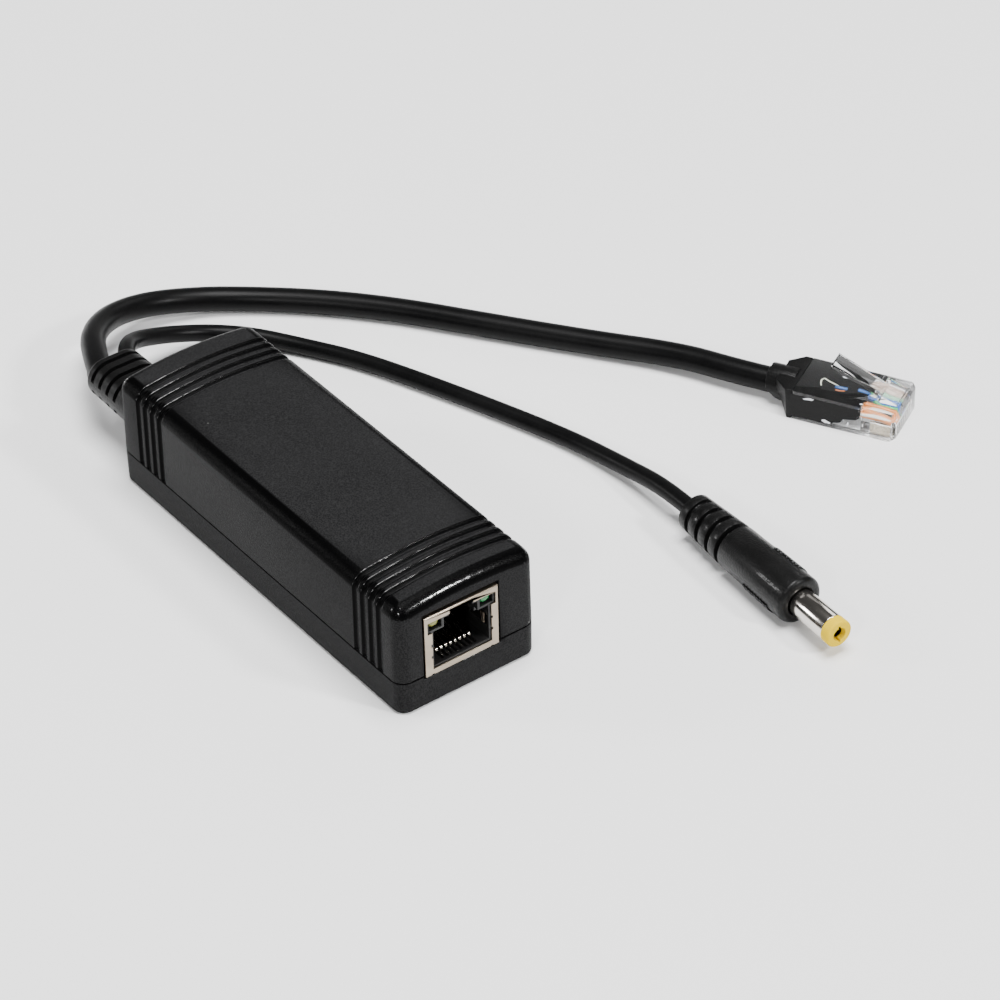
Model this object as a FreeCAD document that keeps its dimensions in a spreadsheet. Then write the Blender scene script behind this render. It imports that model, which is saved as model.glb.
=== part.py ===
import FreeCAD, Part

# A splitter that parts power from data: a long black moulded case with a shielded jack at its
# front, a ribbed strain relief at its back, and two cords that end in a network plug and in a
# round power plug. +Z is up, the case stands on Z = 0 with its bottom centred on the origin,
# its length runs along Y and the jack faces -Y. Lengths are in millimetres.

import math
import operator
import os
import types

import Sketcher

SIZES = {
    # Circuit board, carried on posts above the tray's floor
    "tray_floor": 2,
    "board_rise": 2.95,
    "board_thickness": 1.6,
    "board_lip": 0.1,
    "board_margin": 0.55,
    "board_side_gap": 0.4,
    "board_end_gap": 0.5,
    "part_gap": 0.5,
    "row_gap": 1.6,
    "lead_room": 12.55,
    "post_radius": 1.5,
    "post_gap": 0.15,
    "post_root": 0.2,
    "front_post_inset": 7,
    "peg_radius": 0.7,
    "peg_rise": 0.6,
    # Case, moulded in two halves round the board
    "case_wall": 2,
    "window_header": 4.1,
    "parting_rise": 0.55,
    "corner_radius": 2.6,
    "inner_corner_radius": 0.6,
    "top_radius": 3,
    "crown_radius": 85,
    "crown_flat": 1.5,
    "seam_edge": 0.15,
    "bottom_radius": 0.9,
    "draft_angle": 0.6,
    "lip_height": 1.2,
    "lip_thickness": 0.8,
    "mould_clearance": 0.1,
    "cut_margin": 1,
    "lip_relief": 0.2,
    # Scalloped grooves round the cover near its ends
    "groove_count": 4,
    "groove_spacing": 2.38,
    "groove_width": 1.5,
    "groove_depth": 0.5,
    "front_groove_inset": 5.85,
    "rear_groove_inset": 7.45,
    # Shielded jack, its sizes measured from its own edges
    "jack_shift": 1.45,
    "jack_width": 16,
    "jack_height": 13.15,
    "jack_depth": 21,
    "jack_proud": 0.15,
    "jack_side_gap": 0.3,
    "jack_top_gap": 0.7,
    "jack_fit": 0.05,
    "sheet_thickness": 0.3,
    "fold_radius": 0.28,
    "bottom_flange": 1.3,
    "top_flange": 1.25,
    "side_flange": 0.6,
    "column_width": 1.58,
    "notch_half_width": 2.58,
    "lamp_window_drop": 3.75,
    "column_notch_low": 4.05,
    "column_notch_high": 6.6,
    "shield_leg_width": 1.6,
    "shield_leg_length": 2.6,
    "shield_leg_inset": 9,
    "finger_height": 2.2,
    "finger_bottom": 4.6,
    "finger_root": 5,
    "finger_tip": 1.6,
    "finger_reach": 0.15,
    "mouth_lip": 0.42,
    "plug_floor": 1.75,
    "plug_ceiling_drop": 4.65,
    "mouth_ceiling_drop": 3.8,
    "mouth_depth": 1.5,
    "plug_back_wall": 1.3,
    "latch_half_width": 3.65,
    "latch_ceiling_drop": 1.8,
    "lamp_radius": 1.35,
    "lamp_inset": 2.43,
    "lamp_drop": 1.95,
    "lamp_length": 5.2,
    "lamp_dome": 1.15,
    "lamp_recess": 0.5,
    "lamp_pocket_depth": 6.4,
    # Jack springs
    "lane_count": 8,
    "lane_spacing": 1.02,
    "slot_width": 0.62,
    "slot_floor": 1.2,
    "slot_front": 1.1,
    "spring_width": 0.45,
    "spring_thickness": 0.3,
    "spring_bend": 3.1,
    "spring_bend_radius": 0.4,
    "spring_loop": 1,
    "spring_end_gap": 2.1,
    "spring_rise": 4.2,
    "tail_inset": 3.8,
    "tail_stagger": 2.4,
    "tail_length": 2.5,
    "tail_hole_radius": 0.42,
    # Parts on the board
    "magnetics_width": 12.6,
    "magnetics_length": 15.6,
    "magnetics_height": 5.6,
    "bridge_width": 4,
    "bridge_length": 4.8,
    "bridge_height": 2.6,
    "capacitor_radius": 4,
    "capacitor_height": 11.5,
    "capacitor_crimp": 0.35,
    "capacitor_foot": 1.9,
    "bobbin_width": 11.6,
    "bobbin_length": 11.4,
    "bobbin_flange": 0.8,
    "bobbin_height": 9.6,
    "bobbin_tube": 5.8,
    "winding_gap": 0.5,
    "core_leg": 4.4,
    "core_back": 2,
    "chip_width": 5,
    "chip_length": 6.2,
    "chip_height": 1.6,
    "coupler_width": 6.4,
    "coupler_length": 4.6,
    "coupler_height": 3.5,
    "diode_width": 4.4,
    "diode_length": 7,
    "diode_height": 2.3,
    "choke_radius": 3.7,
    "choke_height": 6.4,
    "choke_cheek": 1.2,
    "choke_waist": 1.8,
    "choke_winding": 2.9,
    "moulded_edge": 0.35,
    # Strain relief at the back
    "boot_side_gap": 0.65,
    "neck_rise": 1.4,
    "boot_width": 12.5,
    "boot_thickness": 8.5,
    "boot_length": 16,
    "boot_taper_angle": 0.8,
    "boot_edge": 0.6,
    "neck_width": 10.2,
    "neck_thickness": 6.2,
    "neck_radius": 2.4,
    "flange_thickness": 1.5,
    "flange_height": 8,
    "boot_slot_width": 1,
    "boot_slot_spacing": 2.6,
    "boot_slot_count": 4,
    "boot_slot_inset": 2.5,
    "boot_slot_depth": 1.3,
    "boot_band": 0.9,
    "cord_lip": 1.2,
    "cord_lip_wall": 0.15,
    # Cords and the leads inside
    "network_cord_radius": 2.5,
    "network_cord_shift": -2.65,
    "power_cord_radius": 1.725,
    "power_cord_shift": 3.3,
    "data_wire_radius": 0.48,
    "data_wire_spacing": 1.15,
    "data_wire_row": 1.7,
    "power_wire_radius": 0.8,
    "power_wire_spread": 0.95,
    "wire_bend": 1.6,
    "lead_reach": 3.4,
    "lead_row_step": 2.2,
    # Network plug, lying on its contact side
    "network_plug_x": 100.15,
    "network_plug_y": -15.25,
    "network_plug_heading": 299,
    "network_plug_width": 11.7,
    "network_plug_height": 6.65,
    "network_plug_nose": 22.5,
    "nose_chamfer": 0.9,
    "collar_radius": 3.5,
    "collar_axis": 3.55,
    "collar_length": 5.1,
    "collar_overrun": 0.5,
    "shoulder_length": 2.7,
    "shoulder_width": 6.6,
    "plug_rim": 1.5,
    "plug_skin": 0.85,
    "insert_clearance": 0.05,
    "insert_end_gap": 7.2,
    "wire_axis": 3.3,
    "wire_end_gap": 1.2,
    "blade_end_gap": 1.5,
    "blade_length": 4,
    "blade_width": 0.32,
    "blade_slot_width": 0.44,
    "blade_inset": 0.4,
    "latch_width": 6,
    "latch_tail_width": 3.4,
    "latch_root_gap": 0.9,
    "latch_shoulder_length": 3.9,
    "latch_length": 13.7,
    "latch_rise": 5.35,
    "latch_thickness": 1.25,
    "latch_tip_thickness": 0.95,
    # Round power plug, lying on its grip
    "power_plug_x": 58.85,
    "power_plug_y": -35.37,
    "power_plug_heading": 267.2,
    "relief_tip_radius": 3.7,
    "relief_slot_start": 2,
    "relief_slot_spacing": 3.3,
    "relief_slot_width": 1.1,
    "relief_slot_count": 4,
    "relief_slot_depth": 0.6,
    "relief_band_angle": 46,
    "grip_length": 19.4,
    "grip_start_radius": 4.45,
    "grip_radius": 4.8,
    "grip_edge": 1.1,
    "barrel_radius": 2.75,
    "barrel_wall": 0.35,
    "barrel_grip": 6.4,
    "barrel_reach": 9.3,
    "barrel_recess": 1,
    "barrel_flange": 0.7,
    "tip_length": 2,
    "tip_edge": 0.4,
    "tip_wall": 1.4,
    "tip_slot_width": 0.5,
    "tip_slot_length": 3.6,
    "tip_slot_depth": 1.1,
    "sleeve_wall": 0.25,
    "sleeve_recess": 0.9,
    "turned_fit": 0.02,
}

# Points that each cord passes, from the strain relief to its plug
NETWORK_ROUTE = [
    (-6.5, 66.8, 11.3),
    (-2.0, 75.6, 9.9),
    (6.0, 82.1, 7.4),
    (15.8, 84.2, 4.9),
    (25.6, 81.6, 3.2),
    (33.6, 76.6, 2.6),
    (45.0, 66.5, 2.55),
    (55.8, 54.2, 2.55),
    (67.1, 38.0, 2.55),
    (78.7, 21.7, 2.6),
    (89.3, 6.6, 3.3),
]
POWER_ROUTE = [
    (-0.5, 65.6, 11.4),
    (3.2, 69.5, 9.6),
    (8.6, 71.4, 7.2),
    (15.0, 71.6, 5.0),
    (22.0, 69.4, 3.4),
    (28.4, 64.7, 2.4),
    (34.0, 57.2, 1.75),
    (40.4, 46.3, 1.75),
    (46.3, 31.4, 1.75),
    (52.2, 14.9, 1.75),
    (57.2, -0.8, 1.8),
    (59.2, -14.3, 2.6),
]
# Length of each cord's last straight run, along the axis of its plug
NETWORK_LAST_RUN = 7
POWER_LAST_RUN = 9
# How much of the shorter run beside a turn its arc takes up
ARC_SHARE = 0.45
# How far off an edge may lie and still count as being at a height or a front
SAME_PLACE = 1e-4

Vector = FreeCAD.Vector
doc = FreeCAD.newDocument("power_splitter")
sheet = doc.addObject("Spreadsheet::Sheet", "Sizes")
for row, (alias, number) in enumerate(SIZES.items(), 1):
    sheet.set(f"A{row}", alias)
    sheet.set(f"B{row}", str(number))
    sheet.setAlias(f"B{row}", alias)
doc.recompute()


class Size(float):
    """A number that remembers its formula, so that a property can be bound to it."""

    def __new__(cls, value, formula):
        size = super().__new__(cls, value)
        size.formula = formula
        return size


def formula_of(value):
    return value.formula if isinstance(value, Size) else repr(float(value))


def joined_by(sign, work):
    """The two methods that join a size to another number with one sign."""

    def forward(a, b):
        return Size(work(float(a), float(b)), f"({formula_of(a)} {sign} {formula_of(b)})")

    def backward(a, b):
        return forward(b, a)

    return forward, backward


Size.__add__, Size.__radd__ = joined_by("+", operator.add)
Size.__sub__, Size.__rsub__ = joined_by("-", operator.sub)
Size.__mul__, Size.__rmul__ = joined_by("*", operator.mul)
Size.__truediv__, Size.__rtruediv__ = joined_by("/", operator.truediv)
Size.__neg__ = lambda size: 0 - size


def largest(a, b):
    """The larger of two sizes, bound to both."""
    return Size(max(float(a), float(b)), f"max({formula_of(a)}; {formula_of(b)})")


mm = types.SimpleNamespace(**{a: Size(float(sheet.get(a)), f"Sizes.{a}") for a in SIZES})
nodes = []


# Helpers for bodies, sketches and features


def bind(thing, **sizes):
    """Bind each named property of a thing to the formula of its size."""
    for name, size in sizes.items():
        thing.setExpression(name, formula_of(size))
    return thing


def put(thing, x=0.0, y=0.0, z=0.0, heading=None):
    """Place a thing, turned about Z by heading, and bind the place to its sizes."""
    turned = FreeCAD.Rotation(Vector(0, 0, 1), 10 if heading is not None else 0)
    thing.Placement = FreeCAD.Placement(Vector(float(x), float(y), float(z)), turned)
    for axis, size in (("x", x), ("y", y), ("z", z)):
        thing.setExpression(f"Placement.Base.{axis}", formula_of(size))
    if heading is not None:
        thing.setExpression("Placement.Rotation.Angle", formula_of(heading))
    return thing


def keep(thing, name):
    thing.Label = name
    nodes.append(thing)
    return thing


def new_body(name):
    return keep(doc.addObject("PartDesign::Body", name), name)


def origin_part(body, role):
    return next(part for part in body.Origin.OriginFeatures if part.Role == role)


def rectangle(x_low, x_high, y_low, y_high, radius=0.0):
    return [
        (x_low, y_low, radius),
        (x_high, y_low, radius),
        (x_high, y_high, radius),
        (x_low, y_high, radius),
    ]


def fix_point(sketch, geometry, end, x, y):
    """Bind a point of a sketch to its two distances from the sketch's origin."""
    for kind, size in (("DistanceX", x), ("DistanceY", y)):
        number = sketch.addConstraint(Sketcher.Constraint(kind, -1, 1, geometry, end, float(size)))
        if isinstance(size, Size):
            sketch.setExpression(f"Constraints[{number}]", size.formula)


def fix_radius(sketch, geometry, radius):
    number = sketch.addConstraint(Sketcher.Constraint("Radius", geometry, float(radius)))
    if isinstance(radius, Size):
        sketch.setExpression(f"Constraints[{number}]", radius.formula)


def draw_circle(sketch, x, y, radius):
    centre = Vector(float(x), float(y), 0)
    ring = sketch.addGeometry(Part.Circle(centre, Vector(0, 0, 1), float(radius)))
    fix_point(sketch, ring, 3, x, y)
    fix_radius(sketch, ring, radius)


def draw_outline(sketch, corners, closed=True):
    """Draw straight edges through corners, each an x, a y and the radius that rounds it."""
    points = [Vector(float(corner[0]), float(corner[1]), 0) for corner in corners]
    radii = [corner[2] if len(corner) > 2 else 0.0 for corner in corners]
    count = len(points)
    arrive, leave, middle = [], [], []
    for i, point in enumerate(points):
        back = (points[i - 1] - point).normalize()
        ahead = (points[(i + 1) % count] - point).normalize()
        half_angle = back.getAngle(ahead) / 2
        radius = float(radii[i])
        trim = radius / math.tan(half_angle) if radius else 0.0
        arrive.append(point + back * trim)
        leave.append(point + ahead * trim)
        across = (back + ahead).normalize() if radius else Vector()
        middle.append(point + across * (radius / math.sin(half_angle) - radius))
    spans = count if closed else count - 1
    lines = [
        sketch.addGeometry(Part.LineSegment(leave[i], arrive[(i + 1) % count]))
        for i in range(spans)
    ]
    if not closed:
        fix_point(sketch, lines[0], 1, *corners[0][:2])
        fix_point(sketch, lines[-1], 2, *corners[-1][:2])
    for i in range(count) if closed else range(1, count - 1):
        before, after = lines[i - 1], lines[i]
        if not radii[i]:
            sketch.addConstraint(Sketcher.Constraint("Coincident", before, 2, after, 1))
            fix_point(sketch, after, 1, *corners[i][:2])
            continue
        arc = sketch.addGeometry(Part.Arc(arrive[i], middle[i], leave[i]))
        starts = sketch.getPoint(arc, 1).distanceToPoint(arrive[i])
        ends = sketch.getPoint(arc, 2).distanceToPoint(arrive[i])
        first, last = (1, 2) if starts < ends else (2, 1)
        sketch.addConstraint(Sketcher.Constraint("Tangent", before, 2, arc, first))
        sketch.addConstraint(Sketcher.Constraint("Tangent", after, 1, arc, last))
        fix_radius(sketch, arc, radii[i])
        corner = sketch.addGeometry(Part.Point(points[i]), True)
        sketch.addConstraint(Sketcher.Constraint("PointOnObject", corner, 1, before))
        sketch.addConstraint(Sketcher.Constraint("PointOnObject", corner, 1, after))
        fix_point(sketch, corner, 1, *corners[i][:2])


def new_sketch(body, plane, outlines=(), circles=(), offset=0.0, closed=True):
    """A sketch on an origin plane, moved along the plane's normal by offset."""
    sketch = body.newObject("Sketcher::SketchObject", "outline")
    sketch.AttachmentSupport = [(origin_part(body, plane), "")]
    sketch.MapMode = "FlatFace"
    sketch.setExpression("AttachmentOffset.Base.z", formula_of(offset))
    for corners in outlines:
        draw_outline(sketch, corners, closed)
    for x, y, radius in circles:
        draw_circle(sketch, x, y, radius)
    return sketch


def feature(body, kind, profile, reversed_way=False, midplane=False, **sizes):
    """A pad, pocket, revolution or groove from a sketch, with its sizes bound."""
    made = body.newObject(f"PartDesign::{kind}", kind.lower())
    made.Profile = profile
    made.Reversed = reversed_way
    made.Midplane = midplane
    profile.Visibility = False
    bind(made, **sizes)
    if kind in ("Revolution", "Groove"):
        made.ReferenceAxis = (profile, ["H_Axis"])
    doc.recompute()
    return made


def repeat(body, made, axis, count, pitch, reversed_way=False):
    """Copies of a feature in a straight row."""
    row = body.newObject("PartDesign::LinearPattern", "row")
    row.Originals = [made]
    row.Direction = (origin_part(body, axis), [""])
    row.Reversed = reversed_way
    bind(row, Length=pitch * (count - 1), Occurrences=count)
    body.Tip = row
    doc.recompute()
    return row


def edges_where(made, wanted):
    return [f"Edge{i}" for i, edge in enumerate(made.Shape.Edges, 1) if wanted(edge)]


def at_height(height):
    """A test for edges that lie level at a height."""

    def test(edge):
        box = edge.BoundBox
        return abs(box.ZMin - height) < SAME_PLACE and abs(box.ZMax - height) < SAME_PLACE

    return test


def wholly_above(height):
    """A test for edges that lie above a height from end to end."""
    return lambda edge: edge.BoundBox.ZMin > height


def soften(body, made, kind, size, wanted):
    """Fillet or chamfer the edges of a feature that pass a test."""
    edges = edges_where(made, wanted)
    softened = body.newObject(f"PartDesign::{kind}", kind.lower())
    softened.Base = (made, edges)
    bind(softened, **{"Radius" if kind == "Fillet" else "Size": size})
    doc.recompute()
    return softened


# Sizes and places that follow from the driving ones. The case is as large as what it holds.

# Up from the underside
board_bottom = mm.tray_floor + mm.board_rise
board_top = board_bottom + mm.board_thickness
parting_height = board_top + mm.parting_rise
jack_room = mm.jack_height + mm.jack_top_gap + mm.window_header
can_room = largest(mm.capacitor_height, mm.bobbin_height) + mm.part_gap + mm.case_wall
case_height = board_top + largest(jack_room, can_room)
roof = case_height - mm.case_wall
lean = math.tan(math.radians(mm.draft_angle))

# Across the case
core_width = mm.bobbin_width + (mm.mould_clearance + mm.core_back) * 2
can_width = mm.capacitor_radius * 2
power_row = core_width + mm.part_gap + can_width + mm.board_margin * 2
output_width = mm.diode_width + mm.coupler_width + (mm.choke_radius + mm.part_gap + mm.board_margin) * 2
post_room = mm.post_radius * 2 + mm.post_gap + mm.board_lip
jack_half = mm.jack_width / 2 + mm.jack_shift + post_room
board_half = largest(jack_half, largest(power_row, output_width) / 2)
inner_half_width = board_half + mm.board_side_gap
half_width = inner_half_width + mm.case_wall
right_edge = board_half - mm.board_margin
jack_centre = -mm.jack_shift
jack_left = jack_centre - mm.jack_width / 2
jack_right = jack_centre + mm.jack_width / 2
diode_x = mm.diode_width / 2 - right_edge
coupler_x = right_edge - mm.coupler_width / 2
choke_x = (diode_x + mm.diode_width / 2 + coupler_x - mm.coupler_width / 2) / 2
crown_half = half_width - mm.top_radius - mm.crown_flat
crown_angle = math.asin(crown_half / mm.crown_radius)
crown_fall = math.tan(crown_angle)

# Along the case from its front, row by row
core_length = mm.bobbin_length + (mm.mould_clearance + mm.core_back) * 2
magnetics_row = mm.jack_depth - mm.jack_proud + mm.row_gap
transformer_row = magnetics_row + mm.magnetics_length + mm.row_gap
power_parts = largest(core_length, can_width + mm.part_gap + mm.chip_length)
output_row = transformer_row + power_parts + mm.row_gap
can_row = output_row + largest(mm.choke_radius * 2, mm.diode_length) + mm.row_gap
lead_row = can_row + can_width
flange_room = mm.flange_thickness + mm.mould_clearance + mm.case_wall
half_length = (lead_row + mm.lead_room + flange_room) / 2
inner_half_length = half_length - mm.case_wall
board_half_length = inner_half_length - mm.board_end_gap
jack_front = -(half_length + mm.jack_proud)
post_spread = board_half - mm.board_lip - mm.post_radius
post_places = [
    (side * post_spread, y)
    for side in (-1, 1)
    for y in (mm.front_post_inset - half_length, lead_row + mm.post_radius - half_length)
]

# Jack
mouth_half_width = mm.jack_width / 2 - mm.column_width
plug_half_width = mouth_half_width - mm.mouth_lip
lamp_spread = mm.jack_width / 2 - mm.lamp_inset
tail_far = mm.jack_depth - mm.tail_inset
tail_near = tail_far - mm.tail_stagger
plug_depth = tail_near - mm.plug_back_wall
first_lane = mm.lane_spacing * (mm.lane_count - 1) / 2

# Strain relief
boot_x = mm.boot_side_gap + mm.boot_width / 2 - inner_half_width
boot_z = parting_height + mm.neck_rise + mm.neck_thickness / 2
neck_bottom = boot_z - mm.neck_thickness / 2
neck_top = boot_z + mm.neck_thickness / 2
boot_tip = half_length + mm.boot_length
flange_face = inner_half_length - mm.mould_clearance - mm.flange_thickness

# Network plug, from the shoulders forwards
insert_end = mm.network_plug_nose - mm.insert_end_gap
wire_end = mm.network_plug_nose - mm.wire_end_gap
blade_start = mm.network_plug_nose - mm.blade_end_gap - mm.blade_length
latch_root = mm.network_plug_nose - mm.latch_root_gap
latch_shoulder = latch_root - mm.latch_shoulder_length
latch_tip = latch_root - mm.latch_length
latch_slope = mm.latch_rise / mm.latch_length

# Power plug, from the tip of its strain relief forwards
relief_length = (
    mm.relief_slot_start + mm.relief_slot_spacing * (mm.relief_slot_count - 1) + mm.relief_slot_width
)
grip_end = relief_length + mm.grip_length
barrel_start = grip_end - mm.barrel_grip
barrel_shoulder = grip_end - mm.barrel_recess
flange_radius = mm.barrel_radius + mm.barrel_flange
barrel_end = grip_end + mm.barrel_reach
barrel_bore = mm.barrel_radius - mm.barrel_wall
tip_bore = mm.barrel_radius - mm.tip_wall


# Case


def crown_peak(margin):
    """Where the tangents at both ends of the crown meet, for a crown a margin outside."""
    lift = 1 / math.cos(crown_angle) - 1
    return case_height + margin + (mm.crown_radius + margin) * lift


def add_grooves(body, first_y, reversed_way):
    """Cut a row of round-bottomed grooves up one side, over the top and down the other."""
    radius = (mm.groove_width * mm.groove_width / 4 + mm.groove_depth * mm.groove_depth) / (
        2 * mm.groove_depth
    )
    outside = radius - mm.groove_depth
    below = parting_height - mm.cut_margin
    foot = half_width + outside + lean
    peak = crown_peak(outside)
    upright = half_width + outside - (peak - parting_height) * lean
    shoulder = upright / (1 - crown_fall * lean)
    shoulder_height = peak - shoulder * crown_fall
    turn = mm.top_radius + outside
    around = [
        (-foot, below),
        (-shoulder, shoulder_height, turn),
        (0, peak, mm.crown_radius + outside),
        (shoulder, shoulder_height, turn),
        (foot, below),
    ]
    path = new_sketch(body, "XZ_Plane", [around], offset=-first_y, closed=False)
    ring = new_sketch(body, "XY_Plane", circles=[(-foot, first_y, radius)], offset=below)
    cutter = body.newObject("PartDesign::SubtractivePipe", "groove")
    cutter.Profile = ring
    cutter.Spine = path
    doc.recompute()
    return repeat(body, cutter, "Y_Axis", mm.groove_count, mm.groove_spacing, reversed_way)


def jack_window(body, low, high):
    """Cut the jack's window through the front wall between two heights."""
    outline = rectangle(jack_left - mm.jack_side_gap, jack_right + mm.jack_side_gap, low, high)
    front = new_sketch(body, "XZ_Plane", [outline], offset=half_length)
    feature(body, "Pocket", front, Length=mm.case_wall + mm.jack_proud)


def room_plan():
    return rectangle(
        -inner_half_width,
        inner_half_width,
        -inner_half_length,
        inner_half_length,
        mm.inner_corner_radius,
    )


def make_top_cover():
    body = new_body("top_cover")
    plan = rectangle(-half_width, half_width, -half_length, half_length, mm.corner_radius)
    shell = feature(
        body,
        "Pad",
        new_sketch(body, "XY_Plane", [plan], offset=parting_height),
        Length=case_height - parting_height + mm.cut_margin,
        TaperAngle=-mm.draft_angle,
    )
    soften(body, shell, "Chamfer", mm.seam_edge, at_height(parting_height))
    reach = half_width + mm.cut_margin
    edge_height = crown_peak(0) - reach * crown_fall
    above = case_height + mm.cut_margin * 2
    crown = [
        (-reach, edge_height),
        (0, crown_peak(0), mm.crown_radius),
        (reach, edge_height),
        (reach, above),
        (-reach, above),
    ]
    front = new_sketch(body, "XZ_Plane", [crown], offset=half_length)
    crowned = feature(body, "Pocket", front, Length=half_length * 2)
    soften(body, crowned, "Fillet", mm.top_radius, wholly_above(edge_height))
    add_grooves(body, mm.front_groove_inset - half_length, False)
    add_grooves(body, half_length - mm.rear_groove_inset, True)
    room = room_plan()
    hollow = new_sketch(body, "XY_Plane", [room], offset=parting_height)
    feature(body, "Pocket", hollow, True, Length=roof - parting_height)
    near = inner_half_width - mm.lip_relief
    far = inner_half_width + mm.lip_thickness + mm.mould_clearance
    rebates = [
        rectangle(*sorted((side * near, side * far)), -inner_half_length, inner_half_length)
        for side in (-1, 1)
    ]
    rebate = new_sketch(body, "XY_Plane", rebates, offset=parting_height)
    feature(body, "Pocket", rebate, True, Length=mm.lip_height + mm.mould_clearance)
    posts = [(x, y, mm.post_radius) for x, y in post_places]
    feature(
        body,
        "Pad",
        new_sketch(body, "XY_Plane", circles=posts, offset=board_top),
        Length=roof - board_top + mm.post_root,
    )
    sockets = [(x, y, mm.peg_radius + mm.mould_clearance) for x, y in post_places]
    feature(
        body,
        "Pocket",
        new_sketch(body, "XY_Plane", circles=sockets, offset=board_top),
        True,
        Length=mm.peg_rise + mm.mould_clearance,
    )
    head = board_top + mm.jack_height + mm.jack_top_gap
    jack_window(body, parting_height - mm.cut_margin, head)
    notch_half = mm.neck_width / 2 + mm.mould_clearance
    notch_top = neck_top + mm.mould_clearance
    notch = [
        (boot_x - notch_half, parting_height - mm.cut_margin),
        (boot_x + notch_half, parting_height - mm.cut_margin),
        (boot_x + notch_half, notch_top, mm.neck_radius),
        (boot_x - notch_half, notch_top, mm.neck_radius),
    ]
    rear = new_sketch(body, "XZ_Plane", [notch], offset=-half_length)
    feature(body, "Pocket", rear, True, Length=mm.case_wall + mm.cut_margin)


def make_bottom_tray():
    body = new_body("bottom_tray")
    plan = rectangle(-half_width, half_width, -half_length, half_length, mm.corner_radius)
    shell = feature(
        body,
        "Pad",
        new_sketch(body, "XY_Plane", [plan], offset=parting_height),
        True,
        Length=parting_height,
        TaperAngle=-mm.draft_angle,
    )
    rounded = soften(body, shell, "Fillet", mm.bottom_radius, at_height(0))
    soften(body, rounded, "Chamfer", mm.seam_edge, at_height(parting_height))
    room = room_plan()
    hollow = new_sketch(body, "XY_Plane", [room], offset=parting_height)
    feature(body, "Pocket", hollow, Length=parting_height - mm.tray_floor)
    lips = [
        rectangle(
            *sorted((side * inner_half_width, side * (inner_half_width + mm.lip_thickness))),
            mm.corner_radius - inner_half_length,
            inner_half_length - mm.corner_radius,
        )
        for side in (-1, 1)
    ]
    lip = new_sketch(body, "XY_Plane", lips, offset=parting_height)
    feature(body, "Pad", lip, Length=mm.lip_height)
    posts = [(x, y, mm.post_radius) for x, y in post_places]
    feature(
        body,
        "Pad",
        new_sketch(body, "XY_Plane", circles=posts, offset=mm.tray_floor),
        Length=board_bottom - mm.tray_floor,
    )
    pegs = [(x, y, mm.peg_radius) for x, y in post_places]
    feature(
        body,
        "Pad",
        new_sketch(body, "XY_Plane", circles=pegs, offset=board_bottom),
        Length=mm.board_thickness + mm.peg_rise,
    )
    jack_window(body, board_top - mm.mould_clearance, parting_height + mm.cut_margin)
    tab = rectangle(
        boot_x - mm.neck_width / 2, boot_x + mm.neck_width / 2, inner_half_length, half_length
    )
    feature(
        body,
        "Pad",
        new_sketch(body, "XY_Plane", [tab], offset=parting_height),
        Length=neck_bottom - mm.mould_clearance - parting_height,
    )


# Circuit board and what is soldered to it


def lane_places():
    """The X place of each jack spring and its tail's distance behind the jack's front."""
    left = jack_centre - first_lane
    return [
        (left + mm.lane_spacing * i, tail_far if i % 2 else tail_near)
        for i in range(int(mm.lane_count))
    ]


def make_circuit_board():
    body = new_body("circuit_board")
    plan = rectangle(-board_half, board_half, -board_half_length, board_half_length)
    at_top = new_sketch(body, "XY_Plane", [plan], offset=board_bottom)
    feature(body, "Pad", at_top, Length=mm.board_thickness)
    holes = [(x, y, mm.peg_radius + mm.mould_clearance) for x, y in post_places]
    holes += [(x, jack_front + tail, mm.tail_hole_radius) for x, tail in lane_places()]
    leg_y = jack_front + mm.shield_leg_inset
    slots = [
        rectangle(
            x - mm.sheet_thickness / 2 - mm.mould_clearance,
            x + mm.sheet_thickness / 2 + mm.mould_clearance,
            leg_y - mm.mould_clearance,
            leg_y + mm.shield_leg_width + mm.mould_clearance,
        )
        for x in (jack_left + mm.sheet_thickness / 2, jack_right - mm.sheet_thickness / 2)
    ]
    drilled = new_sketch(body, "XY_Plane", slots, holes, offset=board_top)
    feature(body, "Pocket", drilled, Length=mm.board_thickness + mm.cut_margin)


def moulded_block(name, x, y, width, length, height):
    """A moulded part that stands on the board, with bevelled upper edges."""
    body = new_body(name)
    plan = rectangle(x - width / 2, x + width / 2, y - length / 2, y + length / 2)
    block = feature(
        body, "Pad", new_sketch(body, "XY_Plane", [plan], offset=board_top), Length=height
    )
    soften(body, block, "Chamfer", mm.moulded_edge, at_height(board_top + height))
    return body


def cylinder(name, x, y, z, radius, height):
    made = bind(doc.addObject("Part::Cylinder", name), Radius=radius, Height=height)
    return put(made, x, y, z)


def box(name, x, y, z, length, width, height):
    made = bind(doc.addObject("Part::Box", name), Length=length, Width=width, Height=height)
    return put(made, x, y, z)


def can(name, x, y):
    """An aluminium capacitor can with its crimped foot."""
    foot = mm.capacitor_foot
    lower = cylinder(f"{name}_foot", x, y, board_top, mm.capacitor_radius, foot)
    waist = cylinder(
        f"{name}_waist", x, y, board_top, mm.capacitor_radius - mm.capacitor_crimp, foot * 2
    )
    upper = cylinder(
        f"{name}_can", x, y, board_top + foot * 1.5, mm.capacitor_radius, mm.capacitor_height - foot * 1.5
    )
    whole = doc.addObject("Part::MultiFuse", f"{name}_whole")
    whole.Shapes = [lower, waist, upper]
    whole.Refine = True
    return whole


def group(name, members):
    """Separate like solids that share one node."""
    joined = doc.addObject("Part::Compound", name)
    joined.Links = members
    return keep(joined, name)


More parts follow.
